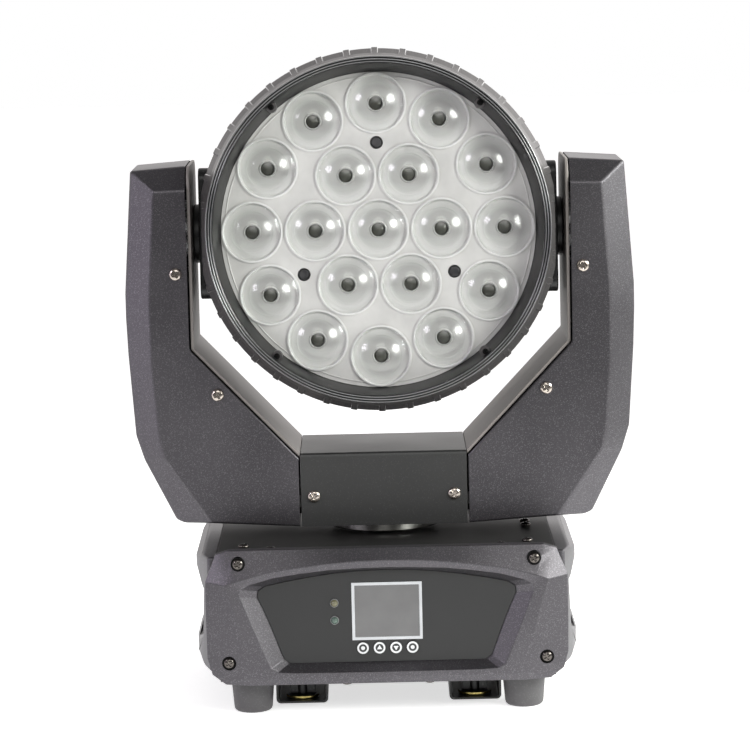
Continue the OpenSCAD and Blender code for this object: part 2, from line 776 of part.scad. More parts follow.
module zoom_screw(i)
    color([0.1, 0.1, 0.1]) on_head() translate(zoom_spots[i - 1]) bar(screw_r, -13.7, plate_front);

module zoom_screw_1() zoom_screw(1);
module zoom_screw_2() zoom_screw(2);
module zoom_screw_3() zoom_screw(3);

// Zoom carriage

module lens_plate()
    color([0.85, 0.86, 0.86]) on_head() difference() {
        union() {
            bar(plate_r, plate_front - plate_t, plate_front);
            for (p = zoom_spots) translate(p) bar(5.5, 38, plate_front - 1);
        }
        for (p = lens_spots) translate(p) bar(lens_r - 0.3, plate_front - plate_t - 1, plate_front + 1);
        for (p = zoom_spots) translate(p) {
            bar(screw_r + run_gap, 30, plate_front + 1);
            bar(4.2, plate_front - 2, plate_front + 1);
        }
    }

// One lens: a dome on a thin seat over the plate, with a tapered tail behind it
module lens() {
    dome_r = (lens_r * lens_r + lens_rise * lens_rise) / (2 * lens_rise);
    seat = plate_front + lens_seat;
    bar(lens_r, plate_front, seat);
    bar(lens_r - 0.5, plate_front - plate_t, plate_front);
    translate([0, 0, lens_tail])
        cylinder(r1 = 7, r2 = lens_r - 1.5, h = plate_front - plate_t - lens_tail);
    intersection() {
        translate([0, 0, seat + lens_rise - dome_r]) sphere(dome_r);
        bar(lens_r, seat - 0.5, seat + lens_rise + 1);
    }
}

module lenses() color([0.9, 0.93, 0.95]) on_head() for (p = lens_spots) translate(p) lens();

base_tray();
base_top_plate();
base_front_panel();
base_rear_panel();
handle_cover_left();
handle_cover_right();
feet();
control_panel();
display_window();
indicator_leds();
control_board();
menu_button_1();
menu_button_2();
menu_button_3();
menu_button_4();
power_supply();
pan_motor();
pan_motor_pulley();
pan_belt();
pan_bearing();
power_inlet();
signal_input();
signal_output();
clamp_brackets();
quarter_turn_lock_1();
quarter_turn_lock_2();
quarter_turn_lock_3();
quarter_turn_lock_4();
safety_eye();
case_screws();
yoke_frame();
arm_plate_left();
arm_plate_right();
arm_shell_left();
arm_shell_right();
bar_cover();
pan_spindle();
pan_pulley();
tilt_motor();
tilt_motor_pulley();
tilt_belt();
tilt_bearings();
yoke_screws();
front_ring();
head_shell();
rear_cover();
heat_sink();
led_board();
led_emitters();
trunnions();
tilt_pulley();
fan_frame();
fan_rotor();
zoom_motors();
zoom_screw_1();
zoom_screw_2();
zoom_screw_3();
ring_screws();
lens_plate();
lenses();
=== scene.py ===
"""Moving head wash light: a zoom head with nineteen lenses, tilting in a yoke that pans on a base.

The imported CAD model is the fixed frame, in metres: +Z up, front towards -Y, the origin on the floor under
the pan axis. Each section below dresses one piece of it, in the order in which the light is put together.
"""
import math

import bpy
from mathutils import Matrix, Vector


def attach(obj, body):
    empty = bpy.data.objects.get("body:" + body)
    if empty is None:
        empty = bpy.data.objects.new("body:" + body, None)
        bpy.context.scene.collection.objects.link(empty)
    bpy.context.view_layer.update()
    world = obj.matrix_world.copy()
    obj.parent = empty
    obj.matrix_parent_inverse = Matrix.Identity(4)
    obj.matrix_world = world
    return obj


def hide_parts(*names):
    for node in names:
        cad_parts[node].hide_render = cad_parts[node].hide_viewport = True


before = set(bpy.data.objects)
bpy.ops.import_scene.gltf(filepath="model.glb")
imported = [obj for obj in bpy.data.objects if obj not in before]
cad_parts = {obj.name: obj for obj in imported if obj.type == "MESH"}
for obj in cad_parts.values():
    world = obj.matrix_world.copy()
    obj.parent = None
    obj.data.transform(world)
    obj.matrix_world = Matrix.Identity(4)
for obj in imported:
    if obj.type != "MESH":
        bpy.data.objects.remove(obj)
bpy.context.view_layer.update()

# Base tray, top plate and rear panel
# Folded steel sheet that carries the base, powder coated satin charcoal and held by machine screws.
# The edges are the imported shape's own, with the small radius that deburring and paint leave on them.
mm = 0.001
weld_gap = 1e-6


def pick_only(*pieces):
    """Selects these pieces and nothing else, and makes the last of them active."""
    bpy.ops.object.select_all(action="DESELECT")
    for piece in pieces:
        piece.select_set(True)
    bpy.context.view_layer.objects.active = pieces[-1]


def modify(piece, kind, **settings):
    """Adds one modifier with its settings and applies it."""
    pick_only(piece)
    step = piece.modifiers.new(kind.lower(), kind)
    for setting, value in settings.items():
        setattr(step, setting, value)
    bpy.ops.object.modifier_apply(modifier=step.name)


def finish_piece(piece, body, slot, finish, *nodes):
    """Shades a piece, gives it its finish, and hangs it on its body in place of the nodes it stands for."""
    pick_only(piece)
    bpy.ops.object.shade_smooth_by_angle(angle=math.radians(30))
    modify(piece, "WEIGHTED_NORMAL", keep_sharp=True)
    piece.data.materials.clear()
    piece.data.materials.append(finish)
    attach(piece, body)
    if nodes:
        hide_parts(*nodes)


def broken_edges(node, body, slot, finish, width=0.35, segments=2):
    """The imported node's own shape with its sharp edges rounded a little, dressed in a finish."""
    piece = bpy.data.objects.new("dressed_" + node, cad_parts[node].data.copy())
    bpy.context.collection.objects.link(piece)
    pick_only(piece)
    bpy.ops.object.mode_set(mode="EDIT")
    bpy.ops.mesh.select_all(action="SELECT")
    bpy.ops.mesh.remove_doubles(threshold=weld_gap)
    bpy.ops.mesh.dissolve_limited(angle_limit=math.radians(0.4))
    bpy.ops.object.mode_set(mode="OBJECT")
    modify(piece, "BEVEL", width=width * mm, segments=segments, limit_method="ANGLE",
           angle_limit=math.radians(32), use_clamp_overlap=False)
    finish_piece(piece, body, slot, finish, node)
    return piece


def new_group(name, inputs, outputs):
    """An empty shader node group with named sockets, and its input and output nodes."""
    group = bpy.data.node_groups.new(name, "ShaderNodeTree")
    for label, kind, value in inputs:
        group.interface.new_socket(label, in_out="INPUT", socket_type=kind).default_value = value
    for label, kind in outputs:
        group.interface.new_socket(label, in_out="OUTPUT", socket_type=kind)
    return group, group.nodes.new("NodeGroupInput"), group.nodes.new("NodeGroupOutput")


def map_range(tree, value, from_min, from_max, to_min, to_max):
    """A Map Range node that turns a value's span into another, and its result."""
    span = tree.nodes.new("ShaderNodeMapRange")
    span.inputs["From Min"].default_value = from_min
    span.inputs["From Max"].default_value = from_max
    span.inputs["To Min"].default_value = to_min
    span.inputs["To Max"].default_value = to_max
    tree.links.new(value, span.inputs["Value"])
    return span.outputs[0]


def calculate(tree, operation, first, second):
    """A Math node that takes two values, and its result."""
    maths = tree.nodes.new("ShaderNodeMath")
    maths.operation = operation
    tree.links.new(first, maths.inputs[0])
    tree.links.new(second, maths.inputs[1])
    return maths.outputs[0]


def blend(tree, share, first, second):
    """A Mix node that goes from one colour to another with a share, and its result."""
    mixed = tree.nodes.new("ShaderNodeMix")
    mixed.data_type = "RGBA"
    tree.links.new(share, mixed.inputs["Factor"])
    tree.links.new(first, mixed.inputs["A"])
    tree.links.new(second, mixed.inputs["B"])
    return mixed.outputs["Result"]


def noise(tree, where, scale, detail):
    """A Noise Texture node on a piece's own coordinates."""
    cloud = tree.nodes.new("ShaderNodeTexNoise")
    cloud.inputs["Scale"].default_value = scale
    cloud.inputs["Detail"].default_value = detail
    tree.links.new(where.outputs["Object"], cloud.inputs["Vector"])
    return cloud


# Powder coat: a ground colour that wanders a little, fine flecks in it, and an orange-peel surface
coat, coat_in, coat_out = new_group(
    "powder_coat",
    [("Ground", "NodeSocketColor", (0.08, 0.08, 0.09, 1)), ("Fleck", "NodeSocketColor", (0.3, 0.3, 0.32, 1)),
     ("Cells", "NodeSocketFloat", 900.0), ("Share", "NodeSocketFloat", 0.2),
     ("Gloss", "NodeSocketFloat", 0.45)],
    [("Color", "NodeSocketColor"), ("Roughness", "NodeSocketFloat"), ("Height", "NodeSocketFloat")])
coat_place = coat.nodes.new("ShaderNodeTexCoord")
flecks = coat.nodes.new("ShaderNodeTexVoronoi")
coat.links.new(coat_place.outputs["Object"], flecks.inputs["Vector"])
coat.links.new(coat_in.outputs["Cells"], flecks.inputs["Scale"])
chance = coat.nodes.new("ShaderNodeSeparateColor")
coat.links.new(flecks.outputs["Color"], chance.inputs[0])
rare = calculate(coat, "LESS_THAN", chance.outputs[0], coat_in.outputs["Share"])
bright = calculate(coat, "MULTIPLY", rare, chance.outputs[1])
drift = noise(coat, coat_place, scale=14, detail=3)
ground = coat.nodes.new("ShaderNodeVectorMath")
ground.operation = "SCALE"
coat.links.new(coat_in.outputs["Ground"], ground.inputs[0])
coat.links.new(map_range(coat, drift.outputs[0], 0.3, 0.7, 0.9, 1.1), ground.inputs["Scale"])
speckled = blend(coat, bright, ground.outputs[0], coat_in.outputs["Fleck"])
coat.links.new(speckled, coat_out.inputs["Color"])
peel = noise(coat, coat_place, scale=700, detail=2)
coat.links.new(peel.outputs[0], coat_out.inputs["Height"])
sheen = map_range(coat, drift.outputs[0], 0, 1, -0.08, 0.08)
coat.links.new(calculate(coat, "ADD", sheen, coat_in.outputs["Gloss"]), coat_out.inputs["Roughness"])


def grouped_finish(name, group, colours, values):
    """A new material whose colour and roughness come from a node group with its own colours and values."""
    finish = bpy.data.materials.new(name)
    finish.use_nodes = True
    tree = finish.node_tree
    shader = tree.nodes["Principled BSDF"]
    grain = tree.nodes.new("ShaderNodeGroup")
    grain.node_tree = group
    for label, colour in colours.items():
        grain.inputs[label].default_value = (*colour, 1)
    for label, value in values.items():
        grain.inputs[label].default_value = value
    tree.links.new(grain.outputs["Color"], shader.inputs["Base Color"])
    tree.links.new(grain.outputs["Roughness"], shader.inputs["Roughness"])
    return finish, shader, grain


def powder_coat(name, ground_colour, fleck_colour, cells, share, roughness, peel_depth=0.06, metallic=0.0):
    """A powder-coated or moulded finish: flecked colour, and a surface like fine orange peel."""
    paint, shader, grain = grouped_finish(name, coat, {"Ground": ground_colour, "Fleck": fleck_colour},
                                          {"Cells": cells, "Share": share, "Gloss": roughness})
    shader.inputs["Metallic"].default_value = metallic
    bump = paint.node_tree.nodes.new("ShaderNodeBump")
    bump.inputs["Strength"].default_value = 1.0
    bump.inputs["Distance"].default_value = peel_depth * mm
    paint.node_tree.links.new(grain.outputs["Height"], bump.inputs["Height"])
    paint.node_tree.links.new(bump.outputs[0], shader.inputs["Normal"])
    return paint


sheet_paint = powder_coat("satin_charcoal_sheet", (0.012, 0.0116, 0.0114), (0.036, 0.034, 0.033), cells=2200,
                          share=0.1, roughness=0.48, peel_depth=0.03)
for node in ("base_tray", "base_top_plate", "base_rear_panel"):
    broken_edges(node, "base", "sheet_paint", sheet_paint)

# Front panel
# One moulding that closes the base: a flat recess for the controls with sloping walls, an arched brow over
# it, a slanted cheek on each side and a skirt that laps the tray. Painted charcoal with a metallic fleck.
panel_wall = 1.8

# Right halves of its outlines, bottom to top as (x, z) in mm: recess floor, its mouth, the ridge, the edge
panel_foot = [
    (0, 33.2), (28, 33.2), (54, 33.2), (61.5, 33.4), (65.2, 36), (68.5, 45), (72.8, 56.5), (77.5, 68),
    (81, 75.5), (80.6, 79.6), (76, 82.6), (63, 85.3), (47, 88), (31.5, 90), (16, 91.2), (0, 91.6)]
panel_mouth = [
    (0, 28.3), (30, 28.4), (58, 28.6), (68.2, 29.2), (72.3, 32), (76.5, 41.5), (81.9, 54.3), (87, 67),
    (91.2, 77), (90.6, 81.6), (85.5, 84.4), (70.5, 88.5), (53, 91), (36, 92.8), (18, 93.6), (0, 93.9)]
panel_ridge = [
    (0, 24.6), (31, 24.6), (60, 24.6), (77, 24.7), (88.6, 25.4), (89.4, 36), (91.5, 50), (95.5, 66),
    (101.2, 84.7), (101.2, 84.7), (94, 87.3), (75.5, 92.2), (55, 95.2), (37, 97.2), (18.5, 98.5), (0, 98.9)]
panel_edge = [
    (0, 20.5), (31, 20.5), (62, 20.5), (86, 20.5), (102, 21.4), (110.4, 27.8), (113.4, 38), (113.7, 62),
    (113.7, 86.5), (107, 103), (99, 105.7), (78, 106), (56, 106), (37.5, 106), (18.7, 106), (0, 106)]
panel_lip = [(mouth_x + 0.1 * (ridge_x - mouth_x), mouth_z + 0.1 * (ridge_z - mouth_z))
             for (mouth_x, mouth_z), (ridge_x, ridge_z) in zip(panel_mouth, panel_ridge)]
foot_depth = [-97.2] * 16
mouth_depth = [-103.9] * 10 + [-103.4] * 6
lip_depth = [-104.75] * 10 + [-104.3] * 6
ridge_depth = [-104.7] * 4 + [-104.9] + [-105] * 11
edge_depth = [-103.6] * 4 + [-102.8, -102.2, -101.4, -100.8, -99.4, -95.4, -97.6, -98.4] + [-98.6] * 4
skirt_depth = [-91.2] * 16


def whole_loop(half, depths):
    """A closed loop (x, y, z in metres) from its right half, given bottom to top as (x, z) in mm."""
    side = [(x * mm, y * mm, z * mm) for (x, z), y in zip(half, depths)]
    return side + [(-x, y, z) for x, y, z in side[-2:0:-1]]


def loft(name, loops):
    """A skin through closed loops with equal corners: a grid with a row on each loop, sewn along its ends."""
    turns = len(loops[0])
    bpy.ops.object.select_all(action="DESELECT")
    bpy.ops.mesh.primitive_grid_add(x_subdivisions=turns, y_subdivisions=len(loops) - 1)
    skin = bpy.context.object
    skin.name = skin.data.name = name
    for row, loop in enumerate(loops):
        for column in range(turns + 1):
            skin.data.vertices[row * (turns + 1) + column].co = loop[column % turns]
    bpy.ops.object.mode_set(mode="EDIT")
    bpy.ops.mesh.select_all(action="SELECT")
    bpy.ops.mesh.remove_doubles(threshold=weld_gap)
    bpy.ops.mesh.normals_make_consistent(inside=False)
    bpy.ops.object.mode_set(mode="OBJECT")
    return skin


def soften(piece, width, segments, sharpest):
    """Rounds the edges of a piece that turn by more than an angle in degrees, by a width in mm."""
    modify(piece, "BEVEL", width=width * mm, segments=segments, limit_method="ANGLE",
           angle_limit=math.radians(sharpest))


def drilled(piece, cutters):
    """Takes the cutters' shapes out of a piece and removes them."""
    for cutter in cutters:
        modify(piece, "BOOLEAN", object=cutter, operation="DIFFERENCE", solver="EXACT")
        bpy.data.objects.remove(cutter)


def drill(radius, place, depth, sides=40):
    """A round cutter along Y, centred on a place in mm."""
    bpy.ops.object.select_all(action="DESELECT")
    bpy.ops.mesh.primitive_cylinder_add(vertices=sides, radius=radius * mm, depth=depth * mm,
                                        location=[c * mm for c in place], rotation=(math.pi / 2, 0, 0))
    bpy.ops.object.transform_apply()
    return bpy.context.object


front_panel = loft("front_panel", [
    whole_loop(panel_foot, foot_depth), whole_loop(panel_mouth, mouth_depth),
    whole_loop(panel_lip, lip_depth), whole_loop(panel_ridge, ridge_depth),
    whole_loop(panel_edge, edge_depth), whole_loop(panel_edge, skirt_depth)])
soften(front_panel, width=1.1, segments=3, sharpest=11)
modify(front_panel, "SOLIDIFY", thickness=panel_wall * mm, offset=-1)
corner_screws = [(92.7, 97.8), (-92.7, 97.8), (99.7, 35.1), (-99.7, 35.1)]
drilled(front_panel, [drill(radius=4.5, place=(x, -102, z), depth=12) for x, z in corner_screws])
case_paint = powder_coat("flecked_charcoal_case", (0.112, 0.106, 0.116), (0.21, 0.2, 0.215), cells=2400,
                         share=0.22, roughness=0.4, peel_depth=0.03, metallic=0.85)
finish_piece(front_panel, "base", "case_paint", case_paint, "base_front_panel")

# Handle covers
# A moulded cover on each side of the base, waisted so that a hand fits under its brow, with a deep pocket
# for the fingers. It closes the base's side, held between the front and rear panels.
handle_paint = powder_coat("moulded_handle_grey", (0.125, 0.12, 0.13), (0.2, 0.19, 0.21), cells=1600,
                           share=0.15, roughness=0.4, peel_depth=0.04, metallic=0.85)
for node in ("handle_cover_left", "handle_cover_right"):
    broken_edges(node, "base", "case_paint", handle_paint, width=1.6, segments=4)


# Feet
# Four tapered feet moulded in grey rubber and screwed under the base, each with a rounded tread and a sunk
# hole for its screw.
def turned(name, sides, profile):
    """A turned piece on the Z axis: a circle drawn out ring by ring through (radius, height) pairs in mm."""
    first_radius, first_height = profile[0]
    bpy.ops.object.select_all(action="DESELECT")
    bpy.ops.mesh.primitive_circle_add(vertices=sides, radius=first_radius * mm, location=(0, 0, 0))
    piece = bpy.context.object
    piece.name = piece.data.name = name
    bpy.ops.object.mode_set(mode="EDIT")
    bpy.ops.mesh.select_all(action="SELECT")
    bpy.ops.transform.translate(value=(0, 0, first_height * mm))
    for (r0, z0), (r1, z1) in zip(profile, profile[1:]):
        bpy.ops.mesh.extrude_edges_indiv()
        bpy.ops.transform.translate(value=(0, 0, (z1 - z0) * mm))
        bpy.ops.transform.resize(value=(r1 / r0, r1 / r0, 1), center_override=(0, 0, z1 * mm))
    bpy.ops.mesh.select_all(action="SELECT")
    bpy.ops.mesh.remove_doubles(threshold=weld_gap)
    bpy.ops.mesh.fill_holes(sides=0)
    bpy.ops.mesh.select_all(action="SELECT")
    bpy.ops.mesh.normals_make_consistent(inside=False)
    bpy.ops.object.mode_set(mode="OBJECT")
    return piece


def joined(*pieces):
    """Makes pieces one mesh, which is the last of them with the others added to it."""
    pick_only(*pieces)
    if len(pieces) > 1:
        bpy.ops.object.join()
    return pieces[-1]


def copies(name, pattern, places):
    """One mesh from a pattern set down at each place, given as matrices; the pattern itself is used up."""
    made = []
    for place in places:
        twin = pattern.copy()
        twin.data = pattern.data.copy()
        bpy.context.collection.objects.link(twin)
        twin.data.transform(place)
        made.append(twin)
    bpy.data.objects.remove(pattern)
    whole = joined(*reversed(made))
    whole.name = whole.data.name = name
    return whole


foot_profile = [
    (2.6, 6), (2.6, 1.2), (4.4, 0.9), (4.6, 0), (9.6, 0), (10.9, 0.4), (11.8, 1.3), (12.2, 2.6),
    (13.5, 18.6), (13.7, 19.2), (13.7, 20.4), (2.6, 20.4), (2.6, 6)]
foot_places = [Matrix.Translation((x * mm, y * mm, 0)) for x in (-86, 86) for y in (-80, 80)]
feet = copies("rubber_feet", turned("foot", sides=56, profile=foot_profile), foot_places)
foot_rubber = powder_coat("moulded_grey_rubber", (0.092, 0.088, 0.092), (0.12, 0.12, 0.12), cells=1500,
                          share=0.2, roughness=0.6, peel_depth=0.04)
finish_piece(feet, "base", "foot", foot_rubber, "feet")


# Control sheet
# A dark plastic film stuck to the floor of the recess, cut out for the four buttons and the two indicator
# lights.
def outlined(name, loop, push):
    """A flat plate: a circle with one corner per point of a loop, filled and drawn out by a push."""
    bpy.ops.object.select_all(action="DESELECT")
    bpy.ops.mesh.primitive_circle_add(vertices=len(loop), radius=0.1, fill_type="NGON")
    plate = bpy.context.object
    plate.name = plate.data.name = name
    for corner, place in zip(plate.data.vertices, loop):
        corner.co = place
    bpy.ops.object.mode_set(mode="EDIT")
    bpy.ops.mesh.select_all(action="SELECT")
    bpy.ops.mesh.extrude_region_move(TRANSFORM_OT_translate={"value": push})
    bpy.ops.mesh.select_all(action="SELECT")
    bpy.ops.mesh.normals_make_consistent(inside=False)
    bpy.ops.object.mode_set(mode="OBJECT")
    return plate


sheet_back, sheet_thickness, controls_y = -97.15, 0.75, -97
button_xs = [-15.6, -5.2, 5.2, 15.6]
button_z = 42
led_x = -33
led_heights = {"amber": 71, "green": 60}
sheet_loop = whole_loop(panel_foot, [sheet_back] * len(panel_foot))
control_sheet = outlined("control_sheet", sheet_loop, (0, -sheet_thickness * mm, 0))
drilled(control_sheet, [drill(radius=4.1, place=(x, -97.5, button_z), depth=6) for x in button_xs]
        + [drill(radius=2.75, place=(led_x, -97.5, z), depth=6) for z in sorted(led_heights.values())])
sheet_film = powder_coat("dark_printed_film", (0.026, 0.026, 0.0265), (0.03, 0.03, 0.0305), cells=3000,
                         share=0.1, roughness=0.5, peel_depth=0.01)
finish_piece(control_sheet, "base", "overlay", sheet_film, "control_panel")

# Display
# A grey liquid-crystal window, unlit, let into the control sheet in front of the control board. A white
# border is printed round it on its clear cover.
border_width, border_step = 1.6, 0.25

# Moulded tone: a colour and gloss that wander slightly, as a mould's skin and handling leave them
tone, tone_in, tone_out = new_group(
    "moulded_tone",
    [("Dark", "NodeSocketColor", (0.45, 0.45, 0.45, 1)), ("Light", "NodeSocketColor", (0.54, 0.54, 0.54, 1)),
     ("Gloss", "NodeSocketFloat", 0.4)],
    [("Color", "NodeSocketColor"), ("Roughness", "NodeSocketFloat")])
cloud = noise(tone, tone.nodes.new("ShaderNodeTexCoord"), scale=60, detail=4)
cloud_share = map_range(tone, cloud.outputs[0], 0.3, 0.7, 0, 1)
tone.links.new(blend(tone, cloud_share, tone_in.outputs["Dark"], tone_in.outputs["Light"]),
               tone_out.inputs["Color"])
cloud_gloss = map_range(tone, cloud.outputs[0], 0, 1, -0.06, 0.06)
tone.links.new(calculate(tone, "ADD", cloud_gloss, tone_in.outputs["Gloss"]), tone_out.inputs["Roughness"])


def moulded_plastic(name, colour, roughness, coat_weight=0.0):
    """A smooth moulded or printed surface with a slightly wandering tone, and a clear coat if it has one."""
    dark = [0.9 * c for c in colour]
    light = [min(1, 1.08 * c) for c in colour]
    plastic, shader, _ = grouped_finish(name, tone, {"Dark": dark, "Light": light}, {"Gloss": roughness})
    shader.inputs["Coat Weight"].default_value = coat_weight
    shader.inputs["Coat Roughness"].default_value = 0.08
    return plastic


def box(place, size, turn=0):
    """A block centred on a place with a size, both in mm, turned about Z."""
    bpy.ops.object.select_all(action="DESELECT")
    bpy.ops.mesh.primitive_cube_add(size=1, location=[c * mm for c in place], rotation=(0, 0, turn),
                                    scale=[c * mm for c in size])
    bpy.ops.object.transform_apply()
    return bpy.context.object


def pick_faces(piece, wanted):
    """Opens a piece for editing with only the wanted faces selected."""
    pick_only(piece)
    bpy.ops.object.mode_set(mode="EDIT")
    bpy.ops.mesh.select_mode(type="FACE")
    bpy.ops.mesh.select_all(action="DESELECT")
    bpy.ops.object.mode_set(mode="OBJECT")
    for face in piece.data.polygons:
        face.select = wanted(face)
    bpy.ops.object.mode_set(mode="EDIT")


def close_edit():
    """Ends the editing of picked faces."""
    bpy.ops.mesh.select_mode(type="VERT")
    bpy.ops.object.mode_set(mode="OBJECT")


def looks_forward(face):
    """True on a face that points out of the front of the base."""
    return face.normal.y < -0.9


white_print = moulded_plastic("white_print", (0.64, 0.655, 0.68), roughness=0.4)
lcd_grey = moulded_plastic("unlit_lcd", (0.155, 0.153, 0.155), roughness=0.22, coat_weight=0.3)
display = box((0, -97.2, 65.4), (44.2, 2.2, 36.6))
display.name = display.data.name = "display"
pick_faces(display, looks_forward)
bpy.ops.mesh.inset(thickness=border_width * mm)
bpy.ops.mesh.inset(thickness=border_step * mm, depth=-border_step * mm)
close_edit()
lcd_face = max(display.data.polygons, key=lambda face: face.area * looks_forward(face)).index
finish_piece(display, "base", "display", white_print, "display_window")
display.data.materials.append(lcd_grey)
display.data.polygons[lcd_face].material_index = 1

# Indicator lights
# Two unlit 5 mm LEDs, their domes just proud of the sheet, each in a grey collar that grips it in the panel.
# One lens is tinted amber and the other green.
led_profile = [(2.4, -5.5), (2.4, 1.0), (2.2, 1.9), (1.7, 2.7), (0.9, 3.3), (0.05, 3.5)]
collar_profile = [(2.7, 0.2), (2.7, 1.15), (2.55, 1.4), (2.35, 1.4), (2.1, 1.1), (2.1, 0.2), (2.7, 0.2)]
led_tints = {"amber": (0.17, 0.16, 0.095), "green": (0.1, 0.15, 0.125)}
out_of_panel = Matrix.Rotation(math.pi / 2, 4, "X")
for tint, led_z in led_heights.items():
    dome = turned("led_" + tint, sides=28, profile=led_profile)
    collar = turned("led_collar", sides=28, profile=collar_profile)
    collar.data.materials.append(moulded_plastic("led_collar_grey", (0.28, 0.28, 0.285), roughness=0.35))
    dome.data.materials.append(moulded_plastic("led_lens_" + tint, led_tints[tint], roughness=0.18,
                                               coat_weight=0.6))
    led_place = Matrix.Translation((led_x * mm, controls_y * mm, led_z * mm)) @ out_of_panel
    for part in (dome, collar):
        part.data.transform(led_place)
    joined(collar, dome)
    bpy.ops.object.shade_smooth_by_angle(angle=math.radians(40))
    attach(dome, "base")
    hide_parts("indicator_leds")

# Menu buttons
# Four black moulded caps that a fingertip presses home, each printed with a white ring and a plain symbol: a
# dot, an arrow up, an arrow down and a dot. A flange behind the sheet keeps each one in.
cap_profile = [
    (5.05, -3.6), (5.05, -2.4), (3.75, -2.4), (3.75, 1.55), (3.65, 1.72), (3.3, 1.78), (0.05, 1.72)]
print_profile = [(3.65, 1.7), (3.65, 1.8), (2.5, 1.8), (2.5, 1.7), (3.65, 1.7)]
print_base, print_height = 1.6, 0.2
bright_print = moulded_plastic("button_white_print", (0.86, 0.87, 0.88), roughness=0.4)
button_black = moulded_plastic("button_black", (0.03, 0.03, 0.032), roughness=0.35)
dot, arrow_up, arrow_down = (24, 1.25, 0), (3, 1.85, math.pi / 2), (3, 1.85, -math.pi / 2)
symbols = (dot, arrow_up, arrow_down, dot)
for number, (button_x, (corners, radius, turn)) in enumerate(zip(button_xs, symbols), 1):
    cap = turned(f"button_{number}", sides=40, profile=cap_profile)
    cap.data.materials.append(button_black)
    ring = turned("button_ring", sides=40, profile=print_profile)
    angles = [turn + i * math.tau / corners for i in range(corners)]
    symbol_loop = [(radius * mm * math.cos(a), radius * mm * math.sin(a), print_base * mm) for a in angles]
    symbol = outlined("button_symbol", symbol_loop, (0, 0, print_height * mm))
    for part in (ring, symbol):
        part.data.materials.append(bright_print)
    button_place = Matrix.Translation((button_x * mm, controls_y * mm, button_z * mm)) @ out_of_panel
    for part in (ring, symbol, cap):
        part.data.transform(button_place)
    joined(ring, symbol, cap)
    bpy.ops.object.shade_smooth_by_angle(angle=math.radians(40))
    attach(cap, f"button_{number}")
    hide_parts(f"menu_button_{number}")


# Base screws
# Steel pan-head machine screws with a cross recess, plated in dark nickel, that hold the panels and the tray.
# One pattern is copied to every hole, and each screw of the front panel sits on a black washer that fills its
# counterbore as painted shade.
def pan_head(name, radius, height):
    """A cross-recessed pan head on the Z axis, its underside at the origin."""
    outline = [(0.9, 0), (1, 0.12), (1, 0.4), (0.95, 0.62), (0.8, 0.86), (0.55, 0.98)]
    head = turned(name, sides=32, profile=[(radius * r, height * z) for r, z in outline] + [(0.05, height)])
    blade = (1.3 * radius, 0.34 * radius, 1.5 * height)
    drilled(head, [box((0, 0, height), blade, turn + 0.5) for turn in (0, math.pi / 2)])
    soften(head, width=0.08, segments=1, sharpest=50)
    return head


# Metal grain: a fine streaked tone and gloss between a dull and a bright colour
streaks, streaks_in, streaks_out = new_group(
    "metal_grain",
    [("Dull", "NodeSocketColor", (0.4, 0.4, 0.4, 1)), ("Bright", "NodeSocketColor", (0.7, 0.7, 0.7, 1)),
     ("Scale", "NodeSocketFloat", 500.0), ("Gloss", "NodeSocketFloat", 0.3)],
    [("Color", "NodeSocketColor"), ("Roughness", "NodeSocketFloat")])
streak = noise(streaks, streaks.nodes.new("ShaderNodeTexCoord"), scale=500, detail=5)
streaks.links.new(streaks_in.outputs["Scale"], streak.inputs["Scale"])
streak_share = map_range(streaks, streak.outputs[0], 0.3, 0.65, 0, 1)
streaks.links.new(blend(streaks, streak_share, streaks_in.outputs["Dull"], streaks_in.outputs["Bright"]),
                  streaks_out.inputs["Color"])
streak_gloss = map_range(streaks, streak.outputs[0], 0, 1, 0.7, 1.3)
streaks.links.new(calculate(streaks, "MULTIPLY", streak_gloss, streaks_in.outputs["Gloss"]),
                  streaks_out.inputs["Roughness"])


def metal(name, colour, roughness, grain_scale, low=0.55):
    """Bare or plated metal: a fine streaked grain in its tone and gloss."""
    plating, shader, _ = grouped_finish(name, streaks, {"Dull": [low * c for c in colour], "Bright": colour},
                                        {"Scale": grain_scale, "Gloss": roughness})
    shader.inputs["Metallic"].default_value = 1
    return plating


def seat(place, outward):
    """The matrix that sets a Z-axis piece down at a place in mm with its head looking outward."""
    turn = Vector((0, 0, 1)).rotation_difference(Vector(outward)).to_matrix().to_4x4()
    return Matrix.Translation(Vector(place) * mm) @ turn


forward, backward, upward, downward = (0, -1, 0), (0, 1, 0), (0, 0, 1), (0, 0, -1)
plate_screws = [(90, -71), (-90, -71), (72.6, -83), (-72.6, -83), (91.5, -14), (91.5, 0), (88, 88), (-88, 88)]
screw_places = [seat((x, -102.5 + 0.02 * (z < 90), z), forward) for x, z in corner_screws]
screw_places += [seat((x, 103, z), backward) for x, z in corner_screws]
screw_places += [seat((x, y, 103), upward) for x, y in plate_screws]
screw_places += [seat((x, -96, 20.5), downward) for x in (-26, 26)]
screws = copies("base_screws", pan_head("base_screw", radius=3.3, height=2.0), screw_places)
dark_nickel = metal("dark_nickel_plate", (0.15, 0.135, 0.125), roughness=0.2, grain_scale=900, low=0.9)
finish_piece(screws, "base", "screw", dark_nickel, "case_screws")
washer = turned("washer", sides=36,
                profile=[(4.45, 0), (4.45, 0.35), (4.2, 0.5), (2.0, 0.5), (2.0, 0), (4.45, 0)])
# Painted shade: black washers fill the counterbores round the front panel's corner screws.
washers = copies("base_washers", washer, [seat((x, -102.1, z), forward) for x, z in corner_screws])
black_steel_and_shade = metal("blackened_steel_and_painted_shade", (0.02, 0.02, 0.02), roughness=0.5, grain_scale=400)
finish_piece(washers, "base", "screw", black_steel_and_shade)


# Electrics inside the base
# The control board behind the display, the power supply in its tin case, and the pan drive: a stepper motor
# that turns the yoke's pulley through a toothed belt. They stay as packed and show only when it is opened.
def dress(finish, *nodes):
    """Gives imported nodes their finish, their shape as it is."""
    for node in nodes:
        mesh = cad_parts[node].data
        mesh.materials.clear()
        mesh.materials.append(finish)


